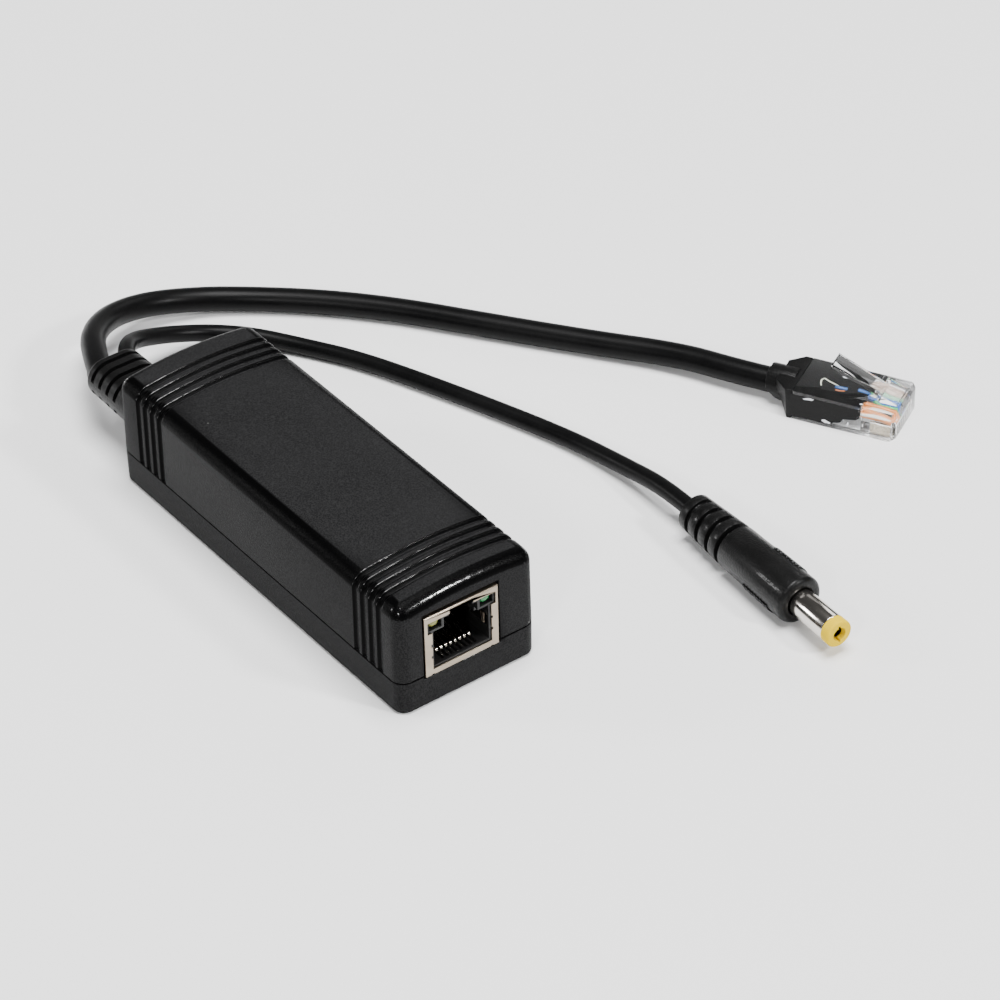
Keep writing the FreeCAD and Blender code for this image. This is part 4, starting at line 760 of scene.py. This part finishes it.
def smooth_bar(
    name: str, points: list[Vector] | tuple[Place, ...], radius: float, sides: int, steps: int
) -> Piece:
    """Lay a round bar along a smooth line.

    Args:
        name: The piece's name.
        points: Points that draw the line, in metres.
        radius: The bar's radius.
        sides: How finely its round is divided.
        steps: How finely the line is divided between two points.

    Returns:
        The bar's curve, not in the scene yet.
    """
    curve = bpy.data.curves.new(name, "CURVE")
    curve.dimensions = "3D"
    curve.bevel_depth = radius
    curve.bevel_resolution = sides
    curve.resolution_u = steps
    curve.use_fill_caps = True
    line = curve.splines.new("NURBS")
    line.points.add(len(points) - 1)
    for point, place in zip(line.points, points):
        point.co = (*place, 1.0)
    line.order_u = 3
    line.use_endpoint_u = True
    return bpy.data.objects.new(name, curve)


def declare(piece: Piece, finish: Finish, *replaced: str) -> Piece:
    """Put a piece in the scene and say what it is.

    Args:
        piece: The new piece.
        finish: Its finish.
        replaced: CAD nodes that it stands for.

    Returns:
        The same piece.
    """
    bpy.context.scene.collection.objects.link(piece)
    finish.dress(piece)
    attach(piece, "root")
    if replaced:
        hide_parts(*replaced)
    return piece


@dataclass
class FreeCord:
    """One of the two cords, a smooth line through the points of its route.

    Args:
        name: The piece's name.
        node: The CAD node that it stands for.
        route: Points that it passes.
        radius: Radius of its jacket.
        length: Length from the strain relief to the plug. Not used.
        carried: Pieces that go with it, CAD nodes among them. Not used.
    """

    name: str
    node: str
    route: Route
    radius: float
    length: float
    carried: list[Piece]

    def build(self) -> Piece:
        """Returns:
            The cord's curve.
        """
        bar = smooth_bar(self.name, self.route.value, self.radius, sides=8, steps=16)
        cord = declare(bar, JACKET, self.node)
        return cord


class Shape:
    """A mesh in the making, which ends as one declared piece."""

    def __init__(self, name: str) -> None:
        """Start empty."""
        self.name = name
        self.work = bmesh.new()
        self.polish = self.work.faces.layers.float.new(POLISH)

    def copy(self, node: str, rounding: float = 0.0) -> None:
        """Add a CAD node's mesh, merged, with its sharp edges rounded.

        Args:
            node: The CAD node.
            rounding: Width of the rounding in metres, or none.
        """
        self.work.from_mesh(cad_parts[node].data)
        marks = self.work.faces.layers.float
        self.polish = marks.get(POLISH) or marks.new(POLISH)
        bmesh.ops.remove_doubles(self.work, verts=self.work.verts, dist=SAME_POINT)
        bmesh.ops.dissolve_limit(
            self.work, angle_limit=FLAT_ANGLE, verts=self.work.verts, edges=self.work.edges
        )
        if rounding:
            self.round_edges(self.work.edges, rounding)

    def round_edges(
        self, edges: bmesh.types.BMEdgeSeq | list, width: float, segments: int = 2
    ) -> None:
        """Round those of the edges that are sharp, and mark what that adds as polished."""
        sharp = [
            edge for edge in edges
            if len(edge.link_faces) == 2 and edge.calc_face_angle(0.0) > SHARP_ANGLE
        ]
        rounded = bmesh.ops.bevel(
            self.work, geom=sharp, offset=width, offset_type="OFFSET", segments=segments,
            profile=0.5, affect="EDGES", clamp_overlap=False, material=-1,
        )
        for face in rounded["faces"]:
            face[self.polish] = 1.0

    def block(self, low: Place, high: Place, cuts: int) -> list[bmesh.types.BMVert]:
        """Add a block between two corners.

        Args:
            low: Its lowest corner.
            high: Its highest corner.
            cuts: How often each edge is divided.

        Returns:
            The block's vertices.
        """
        before = set(self.work.verts)
        made = bmesh.ops.create_cube(self.work, size=1.0)["verts"]
        size = [b - a for a, b in zip(low, high)]
        middle = [(a + b) / 2 for a, b in zip(low, high)]
        bmesh.ops.scale(self.work, vec=size, verts=made)
        bmesh.ops.translate(self.work, vec=middle, verts=made)
        edges = list({edge for vert in made for edge in vert.link_edges})
        bmesh.ops.subdivide_edges(self.work, edges=edges, cuts=cuts, use_grid_fill=True)
        return [vert for vert in self.work.verts if vert not in before]

    def turned(self, profile: list[Pair], steps: int = 96) -> None:
        """Turn a profile of places along X and radii round the X axis."""
        dots = [self.work.verts.new((along, radius, 0.0)) for along, radius in profile]
        lines = [self.work.edges.new(pair) for pair in zip(dots, dots[1:])]
        bmesh.ops.spin(
            self.work, geom=[*dots, *lines], cent=(0.0, 0.0, 0.0), axis=(1.0, 0.0, 0.0),
            angle=math.tau, steps=steps, use_merge=True,
        )

    def mend(self) -> None:
        """Merge doubles and turn every face outwards."""
        bmesh.ops.remove_doubles(self.work, verts=self.work.verts, dist=SAME_POINT)
        bmesh.ops.recalc_face_normals(self.work, faces=self.work.faces)

    def place(self, turned: Matrix) -> None:
        """Move the whole mesh by a matrix."""
        bmesh.ops.transform(self.work, matrix=turned, verts=self.work.verts)

    def settle(self, finish: Finish, *replaced: str, smooth: float = 40.0) -> Piece:
        """Turn the mesh into a declared piece.

        Args:
            finish: Its finish.
            replaced: CAD nodes that it stands for.
            smooth: Edges sharper than this many degrees stay crisp.

        Returns:
            The piece.
        """
        mesh = bpy.data.meshes.new(self.name)
        for vert in self.work.verts:
            vert.co.z = min(max(vert.co.z, 0.0), CAD_BOX[1][2])
        for face in self.work.faces:
            face.smooth = True
        for edge in self.work.edges:
            edge.smooth = edge.calc_face_angle(0.0) < math.radians(smooth)
        self.work.to_mesh(mesh)
        self.work.free()
        log.info("piece %s, %d faces", self.name, len(mesh.polygons))
        return declare(bpy.data.objects.new(self.name, mesh), finish, *replaced)


@dataclass(frozen=True)
class Station:
    """Where a plug lies, and the frame that it is drawn in: X ahead, Y to its left, Z up.

    Args:
        place: Its origin.
        heading: Its direction about Z, in degrees.
    """

    place: Place
    heading: float

    def matrix(self) -> Matrix:
        """Return the matrix that lays a drawn piece in its place."""
        return Matrix.Translation(self.place) @ Matrix.Rotation(math.radians(self.heading), 4, "Z")


NETWORK_STATION = Station((0.10015, -0.01525, 0.0), NETWORK_HEADING)
POWER_STATION = Station((0.05885, -0.03537, 0.0048), POWER_HEADING)

# Each wire's name, its colour, whether that is a stripe on white, and where it leaves the
# overmould: its place across the plug and its height, in millimetres.
WIRES: tuple[tuple[str, Colour, bool, Pair], ...] = (
    ("white_orange", (0.62, 0.23, 0.07), True, (-4.1, 4.1)),
    ("orange", (0.60, 0.20, 0.045), False, (-2.85, 4.5)),
    ("white_green", (0.05, 0.35, 0.12), True, (1.0, 4.4)),
    ("blue", (0.02, 0.09, 0.36), False, (-0.9, 4.7)),
    ("white_blue", (0.02, 0.10, 0.36), True, (-0.1, 4.1)),
    ("green", (0.16, 0.36, 0.22), False, (1.9, 3.9)),
    ("white_brown", (0.42, 0.33, 0.27), True, (3.0, 3.8)),
    ("brown", (0.40, 0.30, 0.24), False, (3.9, 3.1)),
)


@dataclass
class Mouldings:
    """The case halves, jack and boot, with the small roundings that moulds and folds leave.

    Args:
        roundings: Piece name, CAD node, finish and rounding in metres.
        end_fillet: Distance from the middle of the case at which the fillets of its ends begin.
        fillet_foot: Height at which they begin.
        seam: Height of the seam between the halves.
        seam_reach: How far the seam's edges reach from it.
        least_lift: How far a polished face must turn upwards, as its normal's height.
        flat_lift: From this on it counts as part of the roof.
        lit: Lowest and highest of these for the polished strip of an end fillet.
        corner: Distance from the middle at which the upright corners begin, which stay textured and
            free of painted shade.
    """

    roundings: tuple[tuple[str, str, Finish, float], ...] = (
        ("case_cover", "top_cover", CASE, 0.00012),
        ("case_tray", "bottom_tray", CASE, 0.00012),
        ("shield_sheet", "jack_shield", SHIELD, 0.00004),
        ("jack_moulding", "jack_housing", JACK_PLASTIC, 0.00004),
    )
    end_fillet: float = 41.9 * MM
    fillet_foot: float = 21.2 * MM
    seam: float = 7.1 * MM
    seam_reach: float = 0.4 * MM
    least_lift: float = 0.25
    flat_lift: float = 0.97
    lit: Pair = (0.55, 0.80)
    corner: float = 12.2 * MM

    def build(self) -> None:
        """Build each rounded piece in place of its node."""
        for name, node, finish, rounding in self.roundings:
            shape = Shape(name)
            shape.copy(node, rounding)
            shape.work.normal_update()
            for face in shape.work.faces:
                middle = face.calc_center_median()
                lift = face.normal.z
                at_end = abs(middle.y) > self.end_fillet
                if at_end and middle.z > self.fillet_foot and lift < self.flat_lift:
                    face[shape.polish] = 1.0 if self.lit[0] < lift < self.lit[1] else 0.0
                # The seam's faces, and those that face sideways or down, lose their polish, so the
                # painted shade of tilted faces draws the seam as a dark line.
                if abs(middle.z - self.seam) < self.seam_reach or lift < self.least_lift:
                    face[shape.polish] = 0.0
                if at_end and abs(middle.x) > self.corner and abs(lift) < self.least_lift:
                    face[shape.polish] = -1.0
            shape.settle(finish, node)


@dataclass
class NetworkPlug:
    """The network plug: overmould run into the clear body, wires, pale flakes of painted glint and
    roundings.

    Lengths are drawn in the plug's own frame, from its shoulders ahead.

    Args:
        half_width: Half the width of the overmould, which ran out to the skin's sides.
        low: Underside of that overmould.
        high: Its top.
        rear: Where it starts.
        front: Where it ends.
        steps: Height and end of the overmould low in the body, where it ran short.
        short_side: Where across the plug it starts to run short, and over what width.
        waver: How far its edge wavers.
        tongue_cut: Where the CAD node's tongue is cut off.
        boot_edge: Rounding of the collar and shoulders.
        nose_corner: Rounding of the nose's upright corners.
        shell_edge: Rounding of the clear body's other edges.
        latch_foot: Height above which the latch stands free.
        latch_shoulder: Where its lever begins.
        latch_spread: How much wider the lever is than the CAD node's.
        nose_face: Where the nose's chamfers end.
        lane_pitch: Distance between two lanes of wires, in millimetres.
        near_wire: Height and radius of the two wires at the side that shows, in millimetres.
        far_wire: The same of the other six.
    """

    half_width: float = 5.87 * MM
    low: float = 0.78 * MM
    high: float = 5.88 * MM
    rear: float = 1.0 * MM
    front: float = 15.3 * MM
    steps: tuple[Pair, ...] = (
        (0.0, 9.2 * MM), (1.3 * MM, 9.6 * MM), (1.9 * MM, 11.2 * MM), (2.9 * MM, 12.4 * MM),
        (3.5 * MM, 14.9 * MM), (6.0 * MM, 15.3 * MM),
    )
    short_side: Pair = (4.6 * MM, 2.4 * MM)
    waver: float = 0.28 * MM
    tongue_cut: float = 1.45 * MM
    boot_edge: float = 0.14 * MM
    nose_corner: float = 0.7 * MM
    shell_edge: float = 0.1 * MM
    latch_foot: float = 6.75 * MM
    latch_shoulder: float = 17.6 * MM
    latch_spread: float = 1.28
    nose_face: float = 21.4 * MM
    lane_pitch: float = 1.02
    near_wire: Pair = (3.9, 0.6)
    far_wire: Pair = (3.3, 0.48)

    def run_out(self, across: float, height: float) -> float:
        """How far the overmould ran at one place of its front.

        Args:
            across: Place across the plug, left positive.
            height: Place above the floor.

        Returns:
            The end of the overmould there.
        """
        short = self.front
        for (low, near), (high, far) in zip(self.steps, self.steps[1:]):
            if low <= height <= high:
                short = near + (far - near) * (height - low) / (high - low)
        begins, width = self.short_side
        side = min(max((begins - across) / width, 0.0), 1.0)
        # Waves of unlike lengths, so that the edge looks torn and not patterned.
        ragged = math.sin(across * 5200.0 + 1.0) * math.sin(height * 4300.0 + across * 2100.0)
        return self.front + (short - self.front) * side + self.waver * ragged * (0.4 + side)

    def overmould(self) -> Piece:
        """Return the collar, shoulders and the overmould that fills the clear body."""
        shape = Shape("plug_overmould")
        shape.copy("plug_boot")
        shape.place(NETWORK_STATION.matrix().inverted())
        geometry = [*shape.work.verts, *shape.work.edges, *shape.work.faces]
        cut = bmesh.ops.bisect_plane(
            shape.work, geom=geometry, dist=SAME_POINT, plane_co=(self.tongue_cut, 0.0, 0.0),
            plane_no=(1.0, 0.0, 0.0), clear_outer=True,
        )
        rim = [part for part in cut["geom_cut"] if isinstance(part, bmesh.types.BMEdge)]
        bmesh.ops.holes_fill(shape.work, edges=rim, sides=0)
        shape.round_edges(shape.work.edges, self.boot_edge, segments=3)
        low = (self.rear, -self.half_width, self.low)
        filling = shape.block(low, (self.front, self.half_width, self.high), cuts=15)
        length = self.front - self.rear
        for vert in filling:
            share = (vert.co.x - self.rear) / length
            end = self.run_out(vert.co.y, vert.co.z)
            vert.co.x = self.rear + share * (end - self.rear)
        shape.place(NETWORK_STATION.matrix())
        return shape.settle(OVERMOULD, "plug_boot")

    def clear_body(self) -> Piece:
        """Return the clear body with a wider latch, and its corners and edges rounded."""
        shape = Shape("clear_plug_shell")
        shape.copy("plug_body")
        shape.place(NETWORK_STATION.matrix().inverted())
        for vert in shape.work.verts:
            if vert.co.z > self.latch_foot and vert.co.x < self.latch_shoulder:
                vert.co.y *= self.latch_spread
        corners = [
            edge for edge in shape.work.edges
            if min(vert.co.x for vert in edge.verts) > self.nose_face
            and abs(edge.verts[0].co.y - edge.verts[1].co.y) < SAME_POINT
            and min(abs(vert.co.y) for vert in edge.verts) > self.half_width - self.shell_edge
        ]
        shape.round_edges(corners, self.nose_corner, segments=4)
        shape.round_edges(shape.work.edges, self.shell_edge)
        shape.place(NETWORK_STATION.matrix())
        return shape.settle(CLEAR, "plug_body", smooth=30.0)

    def glint_flakes(self) -> Piece:
        """Return pale flakes under the skin, painted highlights where light glints on the clear
        body.
        """
        shape = Shape("painted_glint_flakes")
        flakes = (
            ((4.8, -5.86, 5.55), (1.5, 0.06, 0.3), -10.0),
            ((8.5, -5.86, 1.25), (1.15, 0.06, 0.5), 12.0),
            ((12.9, -5.84, 2.0), (0.16, 0.05, 0.55), 14.0),
            ((12.0, -5.84, 2.75), (0.12, 0.05, 0.2), -20.0),
            ((9.3, 2.5, 5.98), (0.75, 0.3, 0.05), 0.0),
            ((15.0, -4.4, 5.98), (0.4, 0.25, 0.05), 0.0),
        )
        for place, size, tilt in flakes:
            made = bmesh.ops.create_icosphere(shape.work, subdivisions=2, radius=MM)["verts"]
            for vert in made:
                angle = math.atan2(vert.co.z + vert.co.y, vert.co.x)
                vert.co *= 0.8 + 0.3 * math.sin(angle * 3.0 + place[0]) * math.cos(angle * 5.0)
            bmesh.ops.scale(shape.work, vec=size, verts=made)
            turn = Matrix.Rotation(math.radians(tilt), 3, "Y")
            bmesh.ops.rotate(shape.work, matrix=turn, cent=(0.0, 0.0, 0.0), verts=made)
            bmesh.ops.translate(shape.work, vec=Vector(place) * MM, verts=made)
        shape.place(NETWORK_STATION.matrix())
        return shape.settle(GLINT_FLAKE_FINISH)

    def wire(
        self, name: str, points: tuple[Place, ...], radius: float, finish: Finish, *replaced: str
    ) -> Piece:
        """Lay one wire through points given in millimetres.

        Args:
            name: The piece's name.
            points: Points in the plug's frame.
            radius: Its radius in millimetres.
            finish: Its finish.
            replaced: CAD node that it stands for.

        Returns:
            The wire's curve.
        """
        laid = NETWORK_STATION.matrix()
        places = [laid @ (Vector(place) * MM) for place in points]
        return declare(smooth_bar(name, places, radius * MM, sides=5, steps=8), finish, *replaced)

    def wires(self) -> list[Piece]:
        """Return the eight wires from the overmould to their lanes, and the stray ends on it."""
        laid = []
        for lane, (wire, colour, striped, (begin, height)) in enumerate(WIRES):
            across = self.lane_pitch * (lane - 3.5)
            level, radius = self.near_wire if lane < 2 else self.far_wire
            points = (
                (13.8, begin, height), (15.0, begin, height),
                (16.2, (begin + across) / 2, (height + level) / 2),
                (17.4, across, level), (19.4, across, level), (21.2, across, 3.4),
            )
            name, slot = f"{wire}_wire_sleeve", f"{wire}_insulation"
            finish = Sleeve(name, slot, NETWORK_HEADING, colour, striped)
            laid.append(self.wire(f"{wire}_core_wire", points, radius, finish, f"{wire}_wire"))
        loop = (
            (5.9, -1.6, 5.93), (5.2, -0.5, 5.97), (5.6, 0.95, 5.97), (6.6, 0.2, 5.97),
            (8.9, -0.5, 5.95),
        )
        blue = ((8.6, -0.9, 5.9), (9.6, -1.1, 5.93), (10.9, -0.8, 5.85))
        orange = ((8.9, -1.9, 5.9), (9.8, -2.0, 5.9), (10.6, -1.6, 5.86))
        turn = ((13.0, -0.3, 5.9), (14.2, -0.3, 5.9), (15.5, -0.7, 5.4))
        strays = (
            ("loose_white_end", loop, 0.14, WHITE_SLEEVE),
            ("loose_blue_end", blue, 0.42, BLUE_SLEEVE),
            ("loose_orange_end", orange, 0.2, ORANGE_SLEEVE),
            ("loose_blue_turn", turn, 0.45, BLUE_SLEEVE),
        )
        return laid + [self.wire(*stray) for stray in strays]

    def build(self) -> list[Piece]:
        """Build the plug's pieces and return them."""
        return [self.overmould(), self.clear_body(), self.glint_flakes(), *self.wires()]


@dataclass
class PowerPlug:
    """The power plug's grip: slotted strain relief with two side bands, and ridged sides.

    The plug lies rolled about its own length, so its bands and ridges are turned.

    Args:
        roll: Turn of the side bands about its length, in degrees.
        panel_roll: Turn of the panels of ridges.
        tip_radius: Radius at the strain relief's tip.
        start_radius: Radius where the grip begins.
        end_radius: Radius at its face.
        relief: Length of the strain relief.
        length: Whole length of the grip.
        face_rounding: Radius of the rounding of its face.
        slots: Start of each slot.
        slot_width: Width of a slot.
        slot_floor: Radius of its floor.
        band: Half the angle of a side band, in degrees.
        grip_edge: Rounding of its sharp edges.
        bore: Radius of the bore round the barrel.
        bore_floor: Where that bore ends.
        barrel_radius: Radius of the plated barrel.
        barrel_bore: Radius of its bore.
        barrel_end: Where it ends against the insulator.
        rolled: How far that end is rolled in.
        barrel_edge: Rounding of the barrel's sharp edges.
        first: Where the ridges start, from the tip of the strain relief.
        pitch: Distance from one to the next.
        rows: How many along the grip.
        columns: Short blocks that make up one ridge.
        ridge: Size of a block along the grip, outwards and round it.
    """

    roll: float = 49.0
    panel_roll: float = 36.0
    tip_radius: float = 3.7 * MM
    start_radius: float = 4.45 * MM
    end_radius: float = 4.8 * MM
    relief: float = 13.0 * MM
    length: float = 32.4 * MM
    face_rounding: float = 1.1 * MM
    slots: tuple[float, ...] = (2.0 * MM, 5.3 * MM, 8.6 * MM, 11.9 * MM)
    slot_width: float = 1.1 * MM
    slot_floor: float = 3.1 * MM
    band: float = 16.0
    grip_edge: float = 0.1 * MM
    bore: float = 2.95 * MM
    bore_floor: float = 29.5 * MM
    barrel_radius: float = 2.75 * MM
    barrel_bore: float = 2.42 * MM
    barrel_end: float = 41.7 * MM
    rolled: float = 0.12 * MM
    barrel_edge: float = 0.04 * MM
    first: float = 21.2 * MM
    pitch: float = 0.86 * MM
    rows: int = 9
    columns: int = 4
    ridge: Place = (0.42 * MM, 0.46 * MM, 0.9 * MM)

    def outer(self, along: float) -> float:
        """Return the radius of the grip without its slots at a place along it."""
        if along < self.relief:
            return self.tip_radius + (self.start_radius - self.tip_radius) * along / self.relief
        share = (along - self.relief) / (self.length - self.relief)
        return self.start_radius + (self.end_radius - self.start_radius) * share

    def grip(self) -> Piece:
        """Return the turned grip, its slots filled at the side bands and its edges rounded."""
        shape = Shape("power_grip")
        profile = [(0.0, 0.0), (0.0, self.outer(0.0))]
        for near in self.slots:
            far = near + self.slot_width
            profile += [
                (near, self.outer(near)), (near, self.slot_floor),
                (far, self.slot_floor), (far, self.outer(far)),
            ]
        straight = self.length - self.face_rounding
        profile += [(straight, self.outer(straight))]
        for turn in (22.5, 45.0, 67.5, 90.0):
            angle = math.radians(turn)
            profile.append((
                self.length - self.face_rounding * (1.0 - math.sin(angle)),
                self.end_radius - self.face_rounding * (1.0 - math.cos(angle)),
            ))
        profile += [(self.length, self.bore), (self.bore_floor, self.bore), (self.bore_floor, 0.0)]
        shape.turned(profile)
        for vert in shape.work.verts:
            radius = math.hypot(vert.co.y, vert.co.z)
            if vert.co.x > self.relief or abs(radius - self.slot_floor) > SAME_POINT:
                continue
            angle = math.degrees(math.atan2(vert.co.z, vert.co.y))
            if min(abs(angle), 180.0 - abs(angle)) < self.band:
                vert.co.yz = vert.co.yz * (self.outer(vert.co.x) / radius)
        shape.mend()
        shape.round_edges(shape.work.edges, self.grip_edge)
        shape.place(POWER_STATION.matrix() @ Matrix.Rotation(math.radians(self.roll), 4, "X"))
        return shape.settle(GRIP, "power_plug_grip")

    def barrel(self) -> Piece:
        """Return the plated barrel with its rolled end."""
        shape = Shape("plated_barrel")
        inner, outer = self.barrel_bore, self.barrel_radius
        shape.turned([
            (self.bore_floor, inner), (self.bore_floor, outer),
            (self.barrel_end - self.rolled, outer), (self.barrel_end, outer - self.rolled),
            (self.barrel_end, inner), (self.bore_floor, inner),
        ])
        shape.mend()
        shape.round_edges(shape.work.edges, self.barrel_edge)
        shape.place(POWER_STATION.matrix())
        return shape.settle(NICKEL, "power_plug_barrel")

    def ridges(self) -> Piece:
        """Return both panels of ridges."""
        shape = Shape("grip_ridges")
        size = Matrix.Diagonal((*self.ridge, 1.0))
        for side in (self.panel_roll, self.panel_roll + 180.0):
            for row in range(self.rows):
                along = self.first + row * self.pitch
                radius = self.outer(along)
                step = math.degrees(self.pitch / radius)
                for column in range(self.columns):
                    angle = math.radians(side + step * (column - (self.columns - 1) / 2))
                    turn = Matrix.Rotation(angle, 4, "X") @ Matrix.Translation((along, radius, 0.0))
                    bmesh.ops.create_cube(shape.work, size=1.0, matrix=turn @ size)
        shape.place(POWER_STATION.matrix())
        return shape.settle(GRIP, smooth=20.0)

    def build(self) -> list[Piece]:
        """Build the grip, its barrel and its ridges and return them."""
        return [self.grip(), self.barrel(), self.ridges()]


@dataclass
class PlainFinishes:
    """CAD nodes whose shape is right.

    Args:
        finishes: Each finish and the nodes that have it.
    """

    finishes: tuple[tuple[Finish, tuple[str, ...]], ...] = (
        (BOARD, ("circuit_board",)),
        (GOLD, ("jack_contacts",)),
        (YELLOW_LAMP, ("activity_lamp",)),
        (GREEN_LAMP, ("link_lamp",)),
        (RESIN, ("network_transformer", "bridge_rectifiers", "controller_chip")),
        (RESIN, ("optocoupler", "output_diode")),
        (CAN, ("input_capacitor", "output_capacitors")),
        (JACK_PLASTIC, ("transformer_bobbin",)),
        (TAPE, ("transformer_winding",)),
        (FERRITE, ("transformer_core", "choke_core")),
        (COPPER, ("choke_winding",)),
        (OVERMOULD, ("cable_boot",)),
        (SLEEVING, ("inner_data_wires",)),
        (RED_WIRE, ("inner_positive_wire",)),
        (BLACK_WIRE, ("inner_negative_wire",)),
        (BLADE, ("plug_contacts",)),
        (YELLOW_TIP, ("power_plug_tip",)),
        (NICKEL, ("power_plug_sleeve",)),
    )

    def build(self) -> None:
        """Dress each node."""
        for finish, nodes in self.finishes:
            finish.dress(*(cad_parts[node] for node in nodes))


@dataclass
class Studio:
    """Pale floor, soft lights and the camera at the photograph's angle.

    Args:
        camera_place: Where the camera stands.
        right: Direction to the right of its picture.
        up: Direction to the picture's top.
        forward: Direction that it looks in.
        lens: Its focal length in millimetres.
        sensor: Width of its frame in millimetres.
        near: Nearest distance that it sees.
        floor_half: Half the floor's width.
        glow: Strength of the light from all round.
        lights: Name, place, point faced, width and height, and watts of each light.
    """

    camera_place: Place = (-0.32889, -0.50775, 0.47873)
    right: Place = (0.79998857, -0.59971159, -0.01908658)
    up: Place = (0.37826608, 0.47938694, 0.79189831)
    forward: Place = (0.46576074, 0.6407294, -0.61035462)
    lens: float = 150.47
    sensor: float = 36.0
    near: float = 0.05
    floor_half: float = 3.0
    glow: float = 0.06
    lights: tuple[tuple[str, Place, Place, Pair, float], ...] = (
        ("overhead", (0.05, -0.1, 1.3), (0.03, 0.03, 0.0), (0.7, 0.7), 34.0),
        ("front_right", (0.51, -0.99, 0.83), (0.02, 0.0, 0.0), (0.16, 0.16), 13.5),
        ("left", (-0.8, -0.55, 0.66), (0.02, 0.02, 0.0), (0.16, 0.16), 4.5),
        ("back_left", (-0.80, 0.74, 0.46), (0.06, -0.05, 0.0), (0.24, 0.24), 5.0),
        ("right_card", (1.1, 0.45, 0.75), (0.05, 0.0, 0.0), (0.5, 0.5), 2.2),
        ("back_card", (0.55, 1.3, 0.62), (0.05, 0.0, 0.0), (1.4, 0.8), 1.5),
    )

    def floor(self) -> None:
        """Lay the floor."""
        mesh = bpy.data.meshes.new("floor")
        work = bmesh.new()
        bmesh.ops.create_grid(work, x_segments=1, y_segments=1, size=self.floor_half)
        work.to_mesh(mesh)
        work.free()
        floor = bpy.data.objects.new("floor", mesh)
        bpy.context.scene.collection.objects.link(floor)
        Backdrop("studio_floor", "floor").dress(floor)

    def light(
        self, name: str, place: Place, aim: Place, size: Pair, power: float
    ) -> None:
        """Hang one soft light.

        Args:
            name: The light's name.
            place: Where it hangs.
            aim: The point that it faces.
            size: Width and height of its face.
            power: Power in watts.
        """
        lamp = bpy.data.lights.new(name, "AREA")
        lamp.shape = "RECTANGLE"
        lamp.size, lamp.size_y = size
        lamp.energy = power
        held = bpy.data.objects.new(name, lamp)
        held.location = place
        held.rotation_euler = (Vector(aim) - Vector(place)).to_track_quat("-Z", "Y").to_euler()
        held.visible_camera = False
        bpy.context.scene.collection.objects.link(held)

    def camera(self) -> None:
        """Set the camera where the photograph was taken from."""
        lens = bpy.data.cameras.new("camera")
        lens.sensor_width = self.sensor
        lens.lens = self.lens
        lens.clip_start = self.near
        held = bpy.data.objects.new("camera", lens)
        back = -Vector(self.forward)
        turn = Matrix((self.right, self.up, back)).transposed()
        held.matrix_world = Matrix.Translation(self.camera_place) @ turn.to_4x4()
        bpy.context.scene.collection.objects.link(held)
        bpy.context.scene.camera = held

    def build(self) -> None:
        """Set up the studio."""
        world = bpy.data.worlds.new("studio")
        world.use_nodes = True
        background = world.node_tree.nodes["Background"]
        background.inputs[0].default_value = (1.0, 1.0, 1.0, 1.0)
        background.inputs[1].default_value = self.glow
        bpy.context.scene.world = world
        self.floor()
        for light in self.lights:
            self.light(*light)
        self.camera()


def main() -> None:
    """Build every piece and report it."""
    logging.basicConfig(level=logging.INFO, format="%(message)s")
    Studio().build()
    log.info("studio set")
    PlainFinishes().build()
    log.info("packed pieces dressed")
    Mouldings().build()
    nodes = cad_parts
    network_end = [*NetworkPlug().build(), nodes["plug_contacts"], nodes["cable_boot"]]
    power_end = [*PowerPlug().build(), nodes["power_plug_tip"], nodes["power_plug_sleeve"]]
    cords = (
        FreeCord("network_cord", "network_cable", Route.NETWORK, 0.0025, 0.1642, network_end),
        FreeCord("power_cord", "power_cable", Route.POWER, 0.001725, 0.1447, power_end),
    )
    for cord in cords:
        log.info("cord %s built", cord.build().name)


if __name__ == "__main__":
    main()
